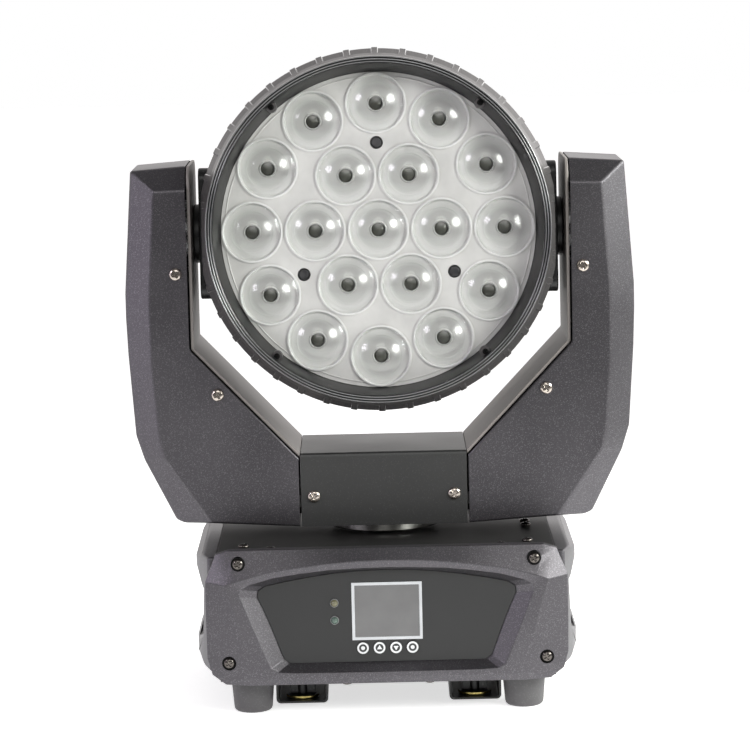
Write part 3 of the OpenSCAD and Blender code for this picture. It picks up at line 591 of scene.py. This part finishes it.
circuit_green = moulded_plastic("solder_mask_green", (0.02, 0.12, 0.05), roughness=0.35)
tin = metal("tin_plate", (0.72, 0.72, 0.7), roughness=0.3, grain_scale=250)
motor_black = powder_coat("motor_lamination_black", (0.03, 0.03, 0.033), (0.1, 0.1, 0.1), cells=700,
                          share=0.1, roughness=0.45)
pulley_alloy = metal("turned_aluminium", (0.78, 0.78, 0.8), roughness=0.28, grain_scale=500)
belt_rubber = moulded_plastic("belt_rubber", (0.02, 0.02, 0.02), roughness=0.65)
dress(circuit_green, "control_board")
dress(tin, "power_supply")
dress(motor_black, "pan_motor")
dress(pulley_alloy, "pan_motor_pulley", "pan_bearing")
dress(belt_rubber, "pan_belt")

# Sockets on the rear panel
# A mains inlet moulded in black nylon, and a round three-pole signal input and output with die-cast nickel
# shells, each fixed to the rear panel by its flange.
black_nylon = moulded_plastic("black_nylon", (0.022, 0.022, 0.024), roughness=0.42)
die_cast = metal("die_cast_nickel", (0.6, 0.59, 0.57), roughness=0.32, grain_scale=700)
broken_edges("power_inlet", "base", "inlet", black_nylon, width=0.5, segments=3)
for node in ("signal_input", "signal_output"):
    broken_edges(node, "base", "socket", die_cast, width=0.4)

# Clamp brackets, locks and safety eye
# Two black folded channels under the base take the hanging clamps. A quarter-turn lock of yellow-passivated
# zinc sits at each end of a channel, black above its flange as painted shade, and a bored lug takes the
# safety wire.
bracket_black = powder_coat("bracket_black", (0.016, 0.016, 0.016), (0.06, 0.06, 0.06), cells=900,
                            share=0.08, roughness=0.38, peel_depth=0.03)
yellow_zinc = metal("yellow_passivated_zinc", (0.8, 0.66, 0.24), roughness=0.3, grain_scale=500, low=0.6)
lock_flange = 1.5
broken_edges("clamp_brackets", "base", "bracket", bracket_black, width=0.4)
broken_edges("safety_eye", "base", "bracket", bracket_black, width=0.4)
for number in range(1, 5):
    lock = broken_edges(f"quarter_turn_lock_{number}", f"lock_{number}", "yellow_zinc", yellow_zinc,
                        width=0.3)
    # Painted shade: the faces above the flange take the bracket's black, for the shade inside the channel;
    # the flange keeps the yellow zinc.
    lock.data.materials.append(bracket_black)
    lowest = min(corner.co.z for corner in lock.data.vertices)
    for face in lock.data.polygons:
        face.material_index = int(face.center.z > lowest + lock_flange * mm)

# Yoke frame, spindle and tilt drive
# A welded deck that stands on the hollow pan spindle, whose polished collar shows above the base. One arm
# holds the stepper motor and belt that tilt the head.
collar_steel = metal("polished_collar", (0.62, 0.61, 0.58), roughness=0.16, grain_scale=160)
broken_edges("pan_spindle", "yoke", "bearing", collar_steel, width=0.6, segments=3)
broken_edges("yoke_frame", "yoke", "inner_sheet", sheet_paint)
dress(pulley_alloy, "pan_pulley", "tilt_motor_pulley", "tilt_bearings")
dress(motor_black, "tilt_motor")
dress(belt_rubber, "tilt_belt")

# Inner arm plates
# A folded steel sheet closes each arm on the head's side: upright beside the head with rounded upper
# corners, then slanting down to the cross bar. It is painted a lighter, smoother grey than the case.
plate_paint = powder_coat("smooth_grey_plate", (0.36, 0.33, 0.315), (0.39, 0.36, 0.34), cells=1500,
                          share=0.06, roughness=0.5, peel_depth=0.02, metallic=0.15)
for node in ("arm_plate_left", "arm_plate_right"):
    broken_edges(node, "yoke", "inner_sheet", plate_paint, width=0.5, segments=3)

# Arm shells
# Two moulded half-boxes that carry the head. Each has a flat face front and back, framed on its outer side by
# facets that fall away to a narrower outer wall with a plain disc on it, and is closed by the plate inside.
face_loop = [
    (121.5, 328.5), (142.4, 328), (146.8, 262), (146.9, 246), (146.6, 215), (143.2, 170), (140.3, 156.5),
    (114, 117.5), (111.5, 114.2), (53.8, 110.5), (53.8, 154.6), (121.5, 226)]
wall_loop = [
    (121.5, 343), (157.5, 340.5), (163, 262), (163, 246), (162.2, 222), (158.8, 170), (153.8, 154),
    (134.2, 114.6), (129.5, 112.6), (53.8, 110.5), (53.8, 154.6), (121.5, 226)]
face_y, wall_y, shell_wall = 43, 30, 3
disc_x, disc_z = 163, 242
disc_profile = [(9.5, 0), (9.5, 0.7), (9.1, 1.1), (8.4, 1.2), (0.05, 1.2)]
arm_rows = ((face_loop, -face_y), (wall_loop, -wall_y), (wall_loop, wall_y), (face_loop, face_y))
for side, name in ((-1, "left"), (1, "right")):
    arm = loft("arm_shell_" + name,
               [[(side * x * mm, y * mm, z * mm) for x, z in loop] for loop, y in arm_rows])
    bpy.ops.object.mode_set(mode="EDIT")
    bpy.ops.mesh.select_all(action="SELECT")
    bpy.ops.mesh.fill_holes(sides=0)
    bpy.ops.mesh.select_all(action="SELECT")
    bpy.ops.mesh.normals_make_consistent(inside=False)
    bpy.ops.object.mode_set(mode="OBJECT")
    soften(arm, width=1.5, segments=3, sharpest=8)
    pick_faces(arm, lambda face: face.normal.x * side < -0.6)
    bpy.ops.mesh.delete(type="FACE")
    close_edit()
    modify(arm, "SOLIDIFY", thickness=shell_wall * mm, offset=-1)
    disc = turned("arm_disc", sides=48, profile=disc_profile)
    disc.data.transform(seat((side * disc_x, 0, disc_z), (side, 0, 0)))
    joined(disc, arm)
    finish_piece(arm, "yoke", "case_paint", case_paint, "arm_shell_" + name)

# Cross bar cover
# One smooth sheet of painted steel over the bar between the arms, folded down at the front and back, where
# screws hold it.
bar_top, bar_bottom, bar_reach, bar_sheet = 157.7, 110.5, 53.3, 1.5
fold = [(-43, bar_bottom), (-43, bar_top - 3), (-42.1, bar_top - 0.9), (-40, bar_top), (40, bar_top),
        (42.1, bar_top - 0.9), (43, bar_top - 3), (43, bar_bottom)]
bpy.ops.object.select_all(action="DESELECT")
bpy.ops.mesh.primitive_grid_add(x_subdivisions=len(fold) - 1, y_subdivisions=1)
bar_cover = bpy.context.object
bar_cover.name = bar_cover.data.name = "bar_cover"
for corner, (y, z) in enumerate(fold):
    bar_cover.data.vertices[corner].co = (bar_reach * mm, y * mm, z * mm)
    bar_cover.data.vertices[corner + len(fold)].co = (-bar_reach * mm, y * mm, z * mm)
bpy.ops.object.mode_set(mode="EDIT")
bpy.ops.mesh.select_all(action="SELECT")
bpy.ops.mesh.normals_make_consistent(inside=False)
bpy.ops.object.mode_set(mode="OBJECT")
if bar_cover.data.polygons[len(fold) // 2 - 1].normal.z < 0:
    bar_cover.data.flip_normals()
modify(bar_cover, "SOLIDIFY", thickness=bar_sheet * mm, offset=-1)
soften(bar_cover, width=0.4, segments=2, sharpest=60)
bar_paint = powder_coat("satin_bar_grey", (0.042, 0.042, 0.042), (0.07, 0.07, 0.07), cells=2400, share=0.1,
                        roughness=0.4, peel_depth=0.02)
finish_piece(bar_cover, "yoke", "sheet_paint", bar_paint, "bar_cover")

# Yoke screws
# Larger steel pan heads, plated in a warm bright nickel, hold the shells and the bar cover to the yoke's
# frame at the front and back.
nickel = metal("warm_nickel_plate", (0.66, 0.59, 0.53), roughness=0.22, grain_scale=900, low=0.85)
yoke_spots = [(side * x, z) for side in (-1, 1) for x, z in ((129.6, 275), (105, 197), (45, 130))]
yoke_places = [seat((x, y * face_y, z), (0, y, 0)) for x, z in yoke_spots for y in (-1, 1)]
yoke_screws = copies("yoke_screws_plated", pan_head("yoke_screw", radius=4.0, height=2.2), yoke_places)
finish_piece(yoke_screws, "yoke", "screw", nickel, "yoke_screws")

# Head shell, rear cover and trunnions
# The head is a black moulded drum closed behind by a slotted cover over the fan. A saddle on each side of it
# carries the hub and shaft on which it tilts.
head_black = powder_coat("moulded_head_black", (0.03, 0.03, 0.03), (0.07, 0.068, 0.066), cells=2000,
                         share=0.1, roughness=0.36, peel_depth=0.04)
hub_black = powder_coat("satin_hub_black", (0.018, 0.018, 0.019), (0.05, 0.05, 0.05), cells=900, share=0.06,
                        roughness=0.32, peel_depth=0.02)
broken_edges("head_shell", "head", "head_black", head_black, width=0.6, segments=3)
broken_edges("rear_cover", "head", "head_black", head_black, width=0.6, segments=3)
broken_edges("trunnions", "head", "trunnion", hub_black, width=1.0, segments=3)

# Light engine, cooling and zoom drive inside the head
# The LED board on its finned heat sink, the fan behind it, and three small motors that each turn a lead
# screw to move the lens plate. The dark ends of the screws show in the plate.
fin_alloy = metal("extruded_aluminium", (0.75, 0.75, 0.76), roughness=0.35, grain_scale=300)
board_white = moulded_plastic("board_white", (0.75, 0.77, 0.76), roughness=0.4)
emitter_dark = moulded_plastic("emitter_dark", (0.05, 0.05, 0.04), roughness=0.2, coat_weight=0.5)
fan_black = moulded_plastic("fan_black", (0.02, 0.02, 0.022), roughness=0.45)
rod_black = metal("black_oxide_rod", (0.16, 0.16, 0.166), roughness=0.35, grain_scale=400)
dress(fin_alloy, "heat_sink", "tilt_pulley", "zoom_motors")
dress(board_white, "led_board")
dress(emitter_dark, "led_emitters")
dress(fan_black, "fan_frame", "fan_rotor")
for number in range(1, 4):
    broken_edges(f"zoom_screw_{number}", f"zoom_screw_{number}", "black_screw", rod_black, width=0.3)

# Front ring
# The black moulded ring that holds the front of the head: forty shallow pockets round its tapered band, two
# furrows in its rim, flat cheeks beside the arms, and a deep cone down to the lens plate. Four small screws
# in bosses inside the cone hold it.
tilt_height, head_pitch = 297, 4.9
look_ahead = Matrix.Rotation(math.radians(90 - head_pitch), 4, "X")
on_head = Matrix.Translation((0, 0, tilt_height * mm)) @ look_ahead
ring_profile = [
    (101.7, 22), (101.7, 52), (104.8, 70), (104.8, 71.2), (105.0, 71.5), (105.3, 71.5), (105.5, 71.2),
    (105.7, 70.4), (106.2, 70.4), (106.4, 71.4), (106.6, 71.6), (106.9, 71.6), (107.1, 71.4), (107.3, 70.5),
    (107.8, 70.5), (108.0, 71.7), (108.2, 71.9), (108.5, 71.8), (108.7, 71.4), (108.9, 70.2), (111.0, 61.0),
    (115.0, 50.4), (115.2, 49.4), (115.2, 37), (114.9, 36), (113, 35), (113, 33), (107.8, 33), (107.8, 22),
    (101.7, 22)]
pocket_turn = 360 / 40
pocket_inset, pocket_depth = 0.55, 0.7
ring = turned("front_ring_black", sides=200, profile=ring_profile)
ring.data.transform(Matrix.Rotation(math.radians(0.9), 4, "Z"))


def in_pocket(face):
    """True on the band's faces that lie between two of its ribs."""
    turn = math.degrees(math.atan2(face.center.y, face.center.x)) % pocket_turn
    on_band = 37 * mm < face.center.z < 60 * mm and face.center.xy.length > 111 * mm
    return on_band and abs(turn - pocket_turn / 2) < 3.5


pick_faces(ring, in_pocket)
bpy.ops.mesh.inset(thickness=pocket_inset * mm, depth=-pocket_depth * mm)
close_edit()
drilled(ring, [box((side * 121.6, 0, 52), (20, 120, 44)) for side in (-1, 1)])
soften(ring, width=0.22, segments=2, sharpest=40)
ring.data.transform(on_head)
ring_black = powder_coat("ring_black", (0.112, 0.106, 0.108), (0.18, 0.174, 0.172), cells=2000, share=0.15,
                         roughness=0.36, peel_depth=0.03, metallic=0.6)
finish_piece(ring, "head", "head_black", ring_black, "front_ring")
# Painted highlight and painted shade: the rim's ridges and the steep walls of the band's pockets take a
# lighter, glossier grey for the bright lines that light draws along those edges, and the furrows between the
# ridges take the cone's near-black as painted shade.
painted_lip_highlight = moulded_plastic("painted_highlight_lip_grey", (0.3, 0.3, 0.305), roughness=0.22, coat_weight=0.5)
painted_lip_highlight.node_tree.nodes["Principled BSDF"].inputs["Metallic"].default_value = 0.7
cone_black = powder_coat("matt_cone_black", (0.008, 0.0082, 0.0085), (0.03, 0.03, 0.03), cells=2000,
                         share=0.1, roughness=0.34, peel_depth=0.02)
cone_black.node_tree.nodes["Principled BSDF"].inputs["Specular IOR Level"].default_value = 0.28
ring.data.materials.append(painted_lip_highlight)
ring.data.materials.append(cone_black)
highlight_slot, furrow_shade_slot = 1, 2
off_head = on_head.inverted()
# Painted highlight on the rim's ridges and the pockets' walls, painted shade in the furrows.
for face in ring.data.polygons:
    spot = off_head @ face.center
    radius = spot.xy.length / mm
    height = spot.z / mm
    lean = (off_head.to_3x3() @ face.normal).dot(Vector((*spot.xy.normalized(), 0)))
    if height > 70.3 and 104.7 < radius < 109:
        in_furrow = 105.55 < radius < 106.35 or 107.15 < radius < 107.95
        face.material_index = furrow_shade_slot if in_furrow else highlight_slot
    elif 36.5 < height < 60.8 and radius > 110.5 and lean < 0.85:
        face.material_index = highlight_slot
cone_profile = [
    (100.1, 22), (100.1, 52), (103.8, 69), (104.1, 70.4), (104.4, 71.1), (104.7, 71.3), (104.8, 70),
    (101.6, 52), (101.6, 22), (100.1, 22)]
cone = turned("ring_cone", sides=160, profile=cone_profile)
cone.data.transform(on_head)
finish_piece(cone, "head", "head_black", cone_black)


def flat_place(radius, turn, height=0):
    """A place on the head's own axes: a radius in mm at a turn, and a height in mm."""
    return Vector((radius * mm * math.cos(turn), radius * mm * math.sin(turn), height * mm))


def around_head(radius, turns):
    """The matrices that set pieces down on the head at a radius in mm, one for each turn."""
    return [on_head @ Matrix.Translation(flat_place(radius, turn)) for turn in turns]


boss_top = 66.6
boss_places = around_head(102, [math.radians(degrees) for degrees in (50, 130, 230, 310)])
boss_profile = [(3.4, 53), (3.4, 66.2), (3.1, boss_top), (1.4, boss_top), (1.4, 53), (3.4, 53)]
bosses = copies("ring_bosses", turned("ring_boss", sides=32, profile=boss_profile), boss_places)
finish_piece(bosses, "head", "head_black", ring_black)
ring_screw = pan_head("ring_screw", radius=1.9, height=1.2)
ring_screw.data.transform(Matrix.Translation((0, 0, (boss_top + 0.05) * mm)))
ring_screws = copies("ring_screws_black", ring_screw, boss_places)
finish_piece(ring_screws, "head", "black_screw", black_steel_and_shade, "ring_screws")

# Lens plate
# A white moulded disc that rides on the three lead screws by a dark nut on each, and carries the lenses in
# nineteen round seats. A fine ridge runs round it a little inside its edge.
plate_white = moulded_plastic("satin_white_plate", (0.68, 0.675, 0.66), roughness=0.4)
dress(plate_white, "lens_plate")
nut_profile = [
    (3.2, 47.8), (3.2, 49.4), (3.35, 49.6), (3.7, 49.6), (3.95, 49.3), (3.95, 47.8), (3.2, 47.8)]
nut_places = around_head(55, [math.radians(degrees) for degrees in (90, 210, 330)])
nuts = copies("zoom_nuts", turned("zoom_nut", sides=40, profile=nut_profile), nut_places)
finish_piece(nuts, "zoom_carriage", "black_screw", rod_black)
ridge_profile = [(96.6, 50.0), (96.7, 50.35), (97.0, 50.5), (97.3, 50.35), (97.4, 50.0), (96.6, 50.0)]
ridge = turned("plate_ridge", sides=160, profile=ridge_profile)
lens_pitch, seat_radius, seat_depth = 40, 19.7, 20
outer_turns = [i * math.tau / 12 for i in range(12)]
inner_turns = [i * math.tau / 6 for i in range(6)]
lens_places = (around_head(0, [0]) + around_head(lens_pitch, inner_turns)
               + around_head(2 * lens_pitch, outer_turns))
seats = []
for turn in outer_turns:
    bpy.ops.object.select_all(action="DESELECT")
    bpy.ops.mesh.primitive_cylinder_add(vertices=48, radius=seat_radius * mm, depth=seat_depth * mm,
                                        location=flat_place(2 * lens_pitch, turn, 50))
    bpy.ops.object.transform_apply()
    seats.append(bpy.context.object)
drilled(ridge, seats)
ridge.data.transform(on_head)
finish_piece(ridge, "zoom_carriage", "lens_plate", plate_white)


# Lenses
# Nineteen moulded acrylic lenses snapped into the plate: a clear front dome, a bright flange round it, and
# behind it a frosted bowl that tapers to the dark opening over the LED, darkened towards it as painted shade.
dome_radius, dome_rise, dome_wall, flange_height = 18.3, 7.8, 0.3, 51.3
ball_radius = (dome_radius ** 2 + dome_rise ** 2) / (2 * dome_rise)
ball_height = flange_height + dome_rise - ball_radius
dome_angle = math.asin(dome_radius / ball_radius)
dome_steps = 16
axis_radius = 0.05


def dome_arc(radius):
    """The points of an arc round the dome's centre, from its rim to its middle."""
    angles = [dome_angle * i / dome_steps for i in range(dome_steps, -1, -1)]
    return [(max(axis_radius, radius * math.sin(a)), ball_height + radius * math.cos(a)) for a in angles]


outer_arc = dome_arc(ball_radius)
inner_arc = dome_arc(ball_radius - dome_wall)
acrylic = bpy.data.materials.new("clear_acrylic")
acrylic.use_nodes = True
acrylic_tree = acrylic.node_tree
acrylic_shader = acrylic_tree.nodes["Principled BSDF"]
acrylic_shader.inputs["Transmission Weight"].default_value = 1
acrylic_shader.inputs["IOR"].default_value = 1.12
acrylic_shader.inputs["Coat Weight"].default_value = 1
acrylic_shader.inputs["Coat Roughness"].default_value = 0.21
acrylic_shader.inputs["Base Color"].default_value = (0.98, 0.985, 0.98, 1)
haze = noise(acrylic_tree, acrylic_tree.nodes.new("ShaderNodeTexCoord"), scale=90, detail=2)
acrylic_tree.links.new(map_range(acrylic_tree, haze.outputs[0], 0, 1, 0, 0.03),
                       acrylic_shader.inputs["Roughness"])
dome = turned("lens_dome", sides=64, profile=outer_arc + inner_arc[::-1] + outer_arc[:1])
domes = copies("lens_domes", dome, lens_places)
domes.visible_shadow = False
finish_piece(domes, "zoom_carriage", "lens", acrylic, "lenses")

rim_profile = [
    (18.0, 46.9), (19.1, 47.2), (19.2, 50.0), (19.4, 50.2), (19.5, 50.8), (19.3, 51.2), (18.9, 51.35),
    (18.4, 51.3), (17.9, 50.6), (17.7, 49.6), (18.0, 46.9)]
rim_clear = moulded_plastic("lens_flange", (0.8, 0.8, 0.79), roughness=0.25, coat_weight=0.3)
rims = copies("lens_rims", turned("lens_rim", sides=64, profile=rim_profile), lens_places)
finish_piece(rims, "zoom_carriage", "lens", rim_clear)

bowl_radius = 17.9
bowl_profile = [
    (bowl_radius, 49.8), (17.1, 48.9), (14.9, 48.45), (13.2, 48.25), (12.8, 47.95), (10, 47.6), (7.2, 47.25),
    (5.7, 47.0), (5.4, 47.3), (5.0, 47.45), (4.65, 47.3), (4.45, 46.9), (4.4, 44.6), (7, 41),
    (bowl_radius, 46.9), (bowl_radius, 49.8)]
bowl = turned("lens_bowl", sides=64, profile=bowl_profile)
reach = bowl.data.attributes.new("reach", "FLOAT", "POINT")
for vertex in bowl.data.vertices:
    reach.data[vertex.index].value = vertex.co.xy.length / (bowl_radius * mm)
bowl_frosted = moulded_plastic("frosted_bowl", (0.4, 0.4, 0.39), roughness=0.4)
bowl_tree = bowl_frosted.node_tree


def colour_ramp(tree, stops):
    """A Color Ramp node through stops, each a place and a colour; the first and last come first."""
    ramp = tree.nodes.new("ShaderNodeValToRGB")
    for element, (place, colour) in zip(ramp.color_ramp.elements, stops):
        element.position = place
        element.color = (*colour, 1)
    for place, colour in stops[2:]:
        ramp.color_ramp.elements.new(place).color = (*colour, 1)
    return ramp


# Painted shade: the bowl's colour is dark from its middle out to six tenths of its radius and lightens
# towards its rim.
from_eye = bowl_tree.nodes.new("ShaderNodeAttribute")
from_eye.attribute_name = "reach"
bowl_shade_ramp = colour_ramp(bowl_tree, [(0.28, (0.3, 0.3, 0.29)), (0.97, (0.54, 0.54, 0.53)),
                                (0.6, (0.3, 0.3, 0.29))])
bowl_tree.links.new(from_eye.outputs["Fac"], bowl_shade_ramp.inputs[0])
bowl_tree.links.new(bowl_shade_ramp.outputs[0], bowl_tree.nodes["Principled BSDF"].inputs["Base Color"])
bowls = copies("lens_bowls", bowl, lens_places)
finish_piece(bowls, "zoom_carriage", "lens", bowl_frosted)

eye_radius, eye_rise, eye_back, eye_front = 4.35, 1.3, 44.6, 45.0
eye_ball = (eye_radius ** 2 + eye_rise ** 2) / (2 * eye_rise)
eye_profile = [(axis_radius, eye_back), (eye_radius, eye_back)]
for step in range(8, -1, -1):
    radius = eye_radius * step / 8
    height = eye_front + eye_rise - eye_ball + math.sqrt(eye_ball ** 2 - radius ** 2)
    eye_profile.append((max(axis_radius, radius), height))
pupils = copies("lens_pupils", turned("lens_pupil", sides=40, profile=eye_profile), lens_places)
pupil_olive = moulded_plastic("led_opening", (0.036, 0.037, 0.028), roughness=0.3, coat_weight=0.15)
finish_piece(pupils, "zoom_carriage", "lens", pupil_olive)


# Floor, light and camera
# A white studio: a pale paper floor that runs out of sight, a round softbox on the left and a stronger one on
# the right, a weak wide fill over the camera, a panel at each side and a bright backdrop. The camera is a
# little over two metres away and looks slightly down.
def seen_and_bounced(tree, bounced, seen, output):
    """Wires one shader to what the camera sees directly, and another to the light that bounces off it."""
    path = tree.nodes.new("ShaderNodeLightPath")
    choice = tree.nodes.new("ShaderNodeMixShader")
    tree.links.new(path.outputs["Is Camera Ray"], choice.inputs[0])
    tree.links.new(bounced.outputs[0], choice.inputs[1])
    tree.links.new(seen.outputs[0], choice.inputs[2])
    tree.links.new(choice.outputs[0], tree.nodes[output].inputs["Surface"])


bpy.ops.object.select_all(action="DESELECT")
bpy.ops.mesh.primitive_grid_add(x_subdivisions=4, y_subdivisions=4, size=12, location=(0, 2, 0))
floor = bpy.context.object
floor.name = "floor"
floor_paper = bpy.data.materials.new("floor_paper")
floor_paper.use_nodes = True
paper = floor_paper.node_tree
paper_seen = paper.nodes["Principled BSDF"]
paper_seen.inputs["Base Color"].default_value = (0.93, 0.93, 0.93, 1)
paper_seen.inputs["Emission Strength"].default_value = 0.66
paper_bounce = paper.nodes.new("ShaderNodeBsdfPrincipled")
for shader in (paper_seen, paper_bounce):
    shader.inputs["Roughness"].default_value = 0.9
    shader.inputs["Specular IOR Level"].default_value = 0.1
    shader.inputs["Emission Color"].default_value = (1, 1, 1, 1)
paper_place = paper.nodes.new("ShaderNodeTexCoord")
paper_split = paper.nodes.new("ShaderNodeSeparateXYZ")
paper.links.new(paper_place.outputs["Object"], paper_split.inputs[0])
near = map_range(paper, paper_split.outputs["Y"], -2.95, -2.4, 0.08, 0.9)
sideways = map_range(paper, paper_split.outputs["X"], -1.5, 1.5, 0, 1)
side_levels = [(0.1, 0.65), (0.9, 0.25), (0.35, 0.85), (0.55, 1.0), (0.68, 0.75)]
sides = colour_ramp(paper, [(place, (level, level, level)) for place, level in side_levels])
paper.links.new(sideways, sides.inputs[0])
paper_level = calculate(paper, "MULTIPLY", near, sides.outputs[0])
paper_glow = paper.nodes.new("ShaderNodeMath")
paper_glow.operation = "MULTIPLY"
paper_glow.inputs[1].default_value = 0.7
paper.links.new(paper_level, paper_glow.inputs[0])
paper.links.new(paper_level, paper_bounce.inputs["Base Color"])
paper.links.new(paper_glow.outputs[0], paper_bounce.inputs["Emission Strength"])
seen_and_bounced(paper, paper_bounce, paper_seen, "Material Output")
floor.data.materials.append(floor_paper)


def softbox(name, place, target, across, watts, colour):
    """A round area light at one place, turned towards another."""
    bpy.ops.object.light_add(type="AREA", location=place)
    lamp = bpy.context.object
    lamp.name = name
    lamp.data.shape = "DISK"
    lamp.data.size = across
    lamp.data.energy = watts
    lamp.data.color = colour
    lamp.rotation_euler = (Vector(target) - Vector(place)).to_track_quat("-Z", "Y").to_euler()


softbox("left_lamp", place=(-1.3, -1.0, 0.95), target=(0, 0, 0.25), across=0.55, watts=6,
        colour=(0.95, 0.9, 1.0))
softbox("right_lamp", place=(1.2, -1.15, 0.85), target=(0, 0, 0.25), across=0.7, watts=16,
        colour=(0.98, 1.0, 0.95))
softbox("front_fill", place=(0, -2.4, 1.5), target=(0, 0, 0.25), across=1.4, watts=10,
        colour=(1.0, 0.99, 0.97))
softbox("left_panel", place=(-1.5, -0.3, 0.15), target=(0, 0, 0.1), across=1.0, watts=2.8,
        colour=(0.92, 0.84, 1.0))
softbox("right_panel", place=(1.1, -0.06, 0.72), target=(0.1, 0, 0.4), across=0.5, watts=13,
        colour=(0.96, 1.0, 0.94))

studio = bpy.data.worlds.new("studio")
bpy.context.scene.world = studio
studio.use_nodes = True
sky = studio.node_tree
backdrop = sky.nodes["Background"]
backdrop.inputs["Strength"].default_value = 1.0
backdrop.inputs["Color"].default_value = (1, 1, 1, 1)
toward = sky.nodes.new("ShaderNodeTexCoord")
sky_split = sky.nodes.new("ShaderNodeSeparateXYZ")
sky.links.new(toward.outputs["Generated"], sky_split.inputs[0])
front_to_back = map_range(sky, sky_split.outputs["Y"], -1, 1, 0, 1)
shade = colour_ramp(sky, [(0.05, (0.1, 0.1, 0.1)), (0.75, (1.5, 1.46, 1.44)), (0.45, (0.5, 0.5, 0.5))])
sky.links.new(front_to_back, shade.inputs[0])
left_to_right = map_range(sky, sky_split.outputs["X"], -0.4, 0.4, 0.65, 1.15)
low_to_high = map_range(sky, sky_split.outputs["Z"], 0, 0.8, 1.15, 0.4)
room = sky.nodes.new("ShaderNodeBackground")
sky.links.new(shade.outputs[0], room.inputs["Color"])
sky.links.new(calculate(sky, "MULTIPLY", left_to_right, low_to_high), room.inputs["Strength"])
seen_and_bounced(sky, room, backdrop, "World Output")

camera_pitch, camera_roll = math.radians(7.4), math.radians(1.3)
ahead = Vector((0, math.cos(camera_pitch), -math.sin(camera_pitch)))
level_right = Vector((1, 0, 0))
level_up = level_right.cross(ahead)
right = math.cos(camera_roll) * level_right - math.sin(camera_roll) * level_up
over = math.sin(camera_roll) * level_right + math.cos(camera_roll) * level_up
bpy.ops.object.camera_add(location=(-0.0042, -2.1641, 0.4831))
camera = bpy.context.object
camera.rotation_euler = Matrix((right, over, -ahead)).transposed().to_euler()
camera.data.sensor_width = 36
camera.data.lens = 160.8
bpy.context.scene.camera = camera
bpy.context.scene.view_settings.view_transform = "Standard"
bpy.context.scene.cycles.use_denoising = True
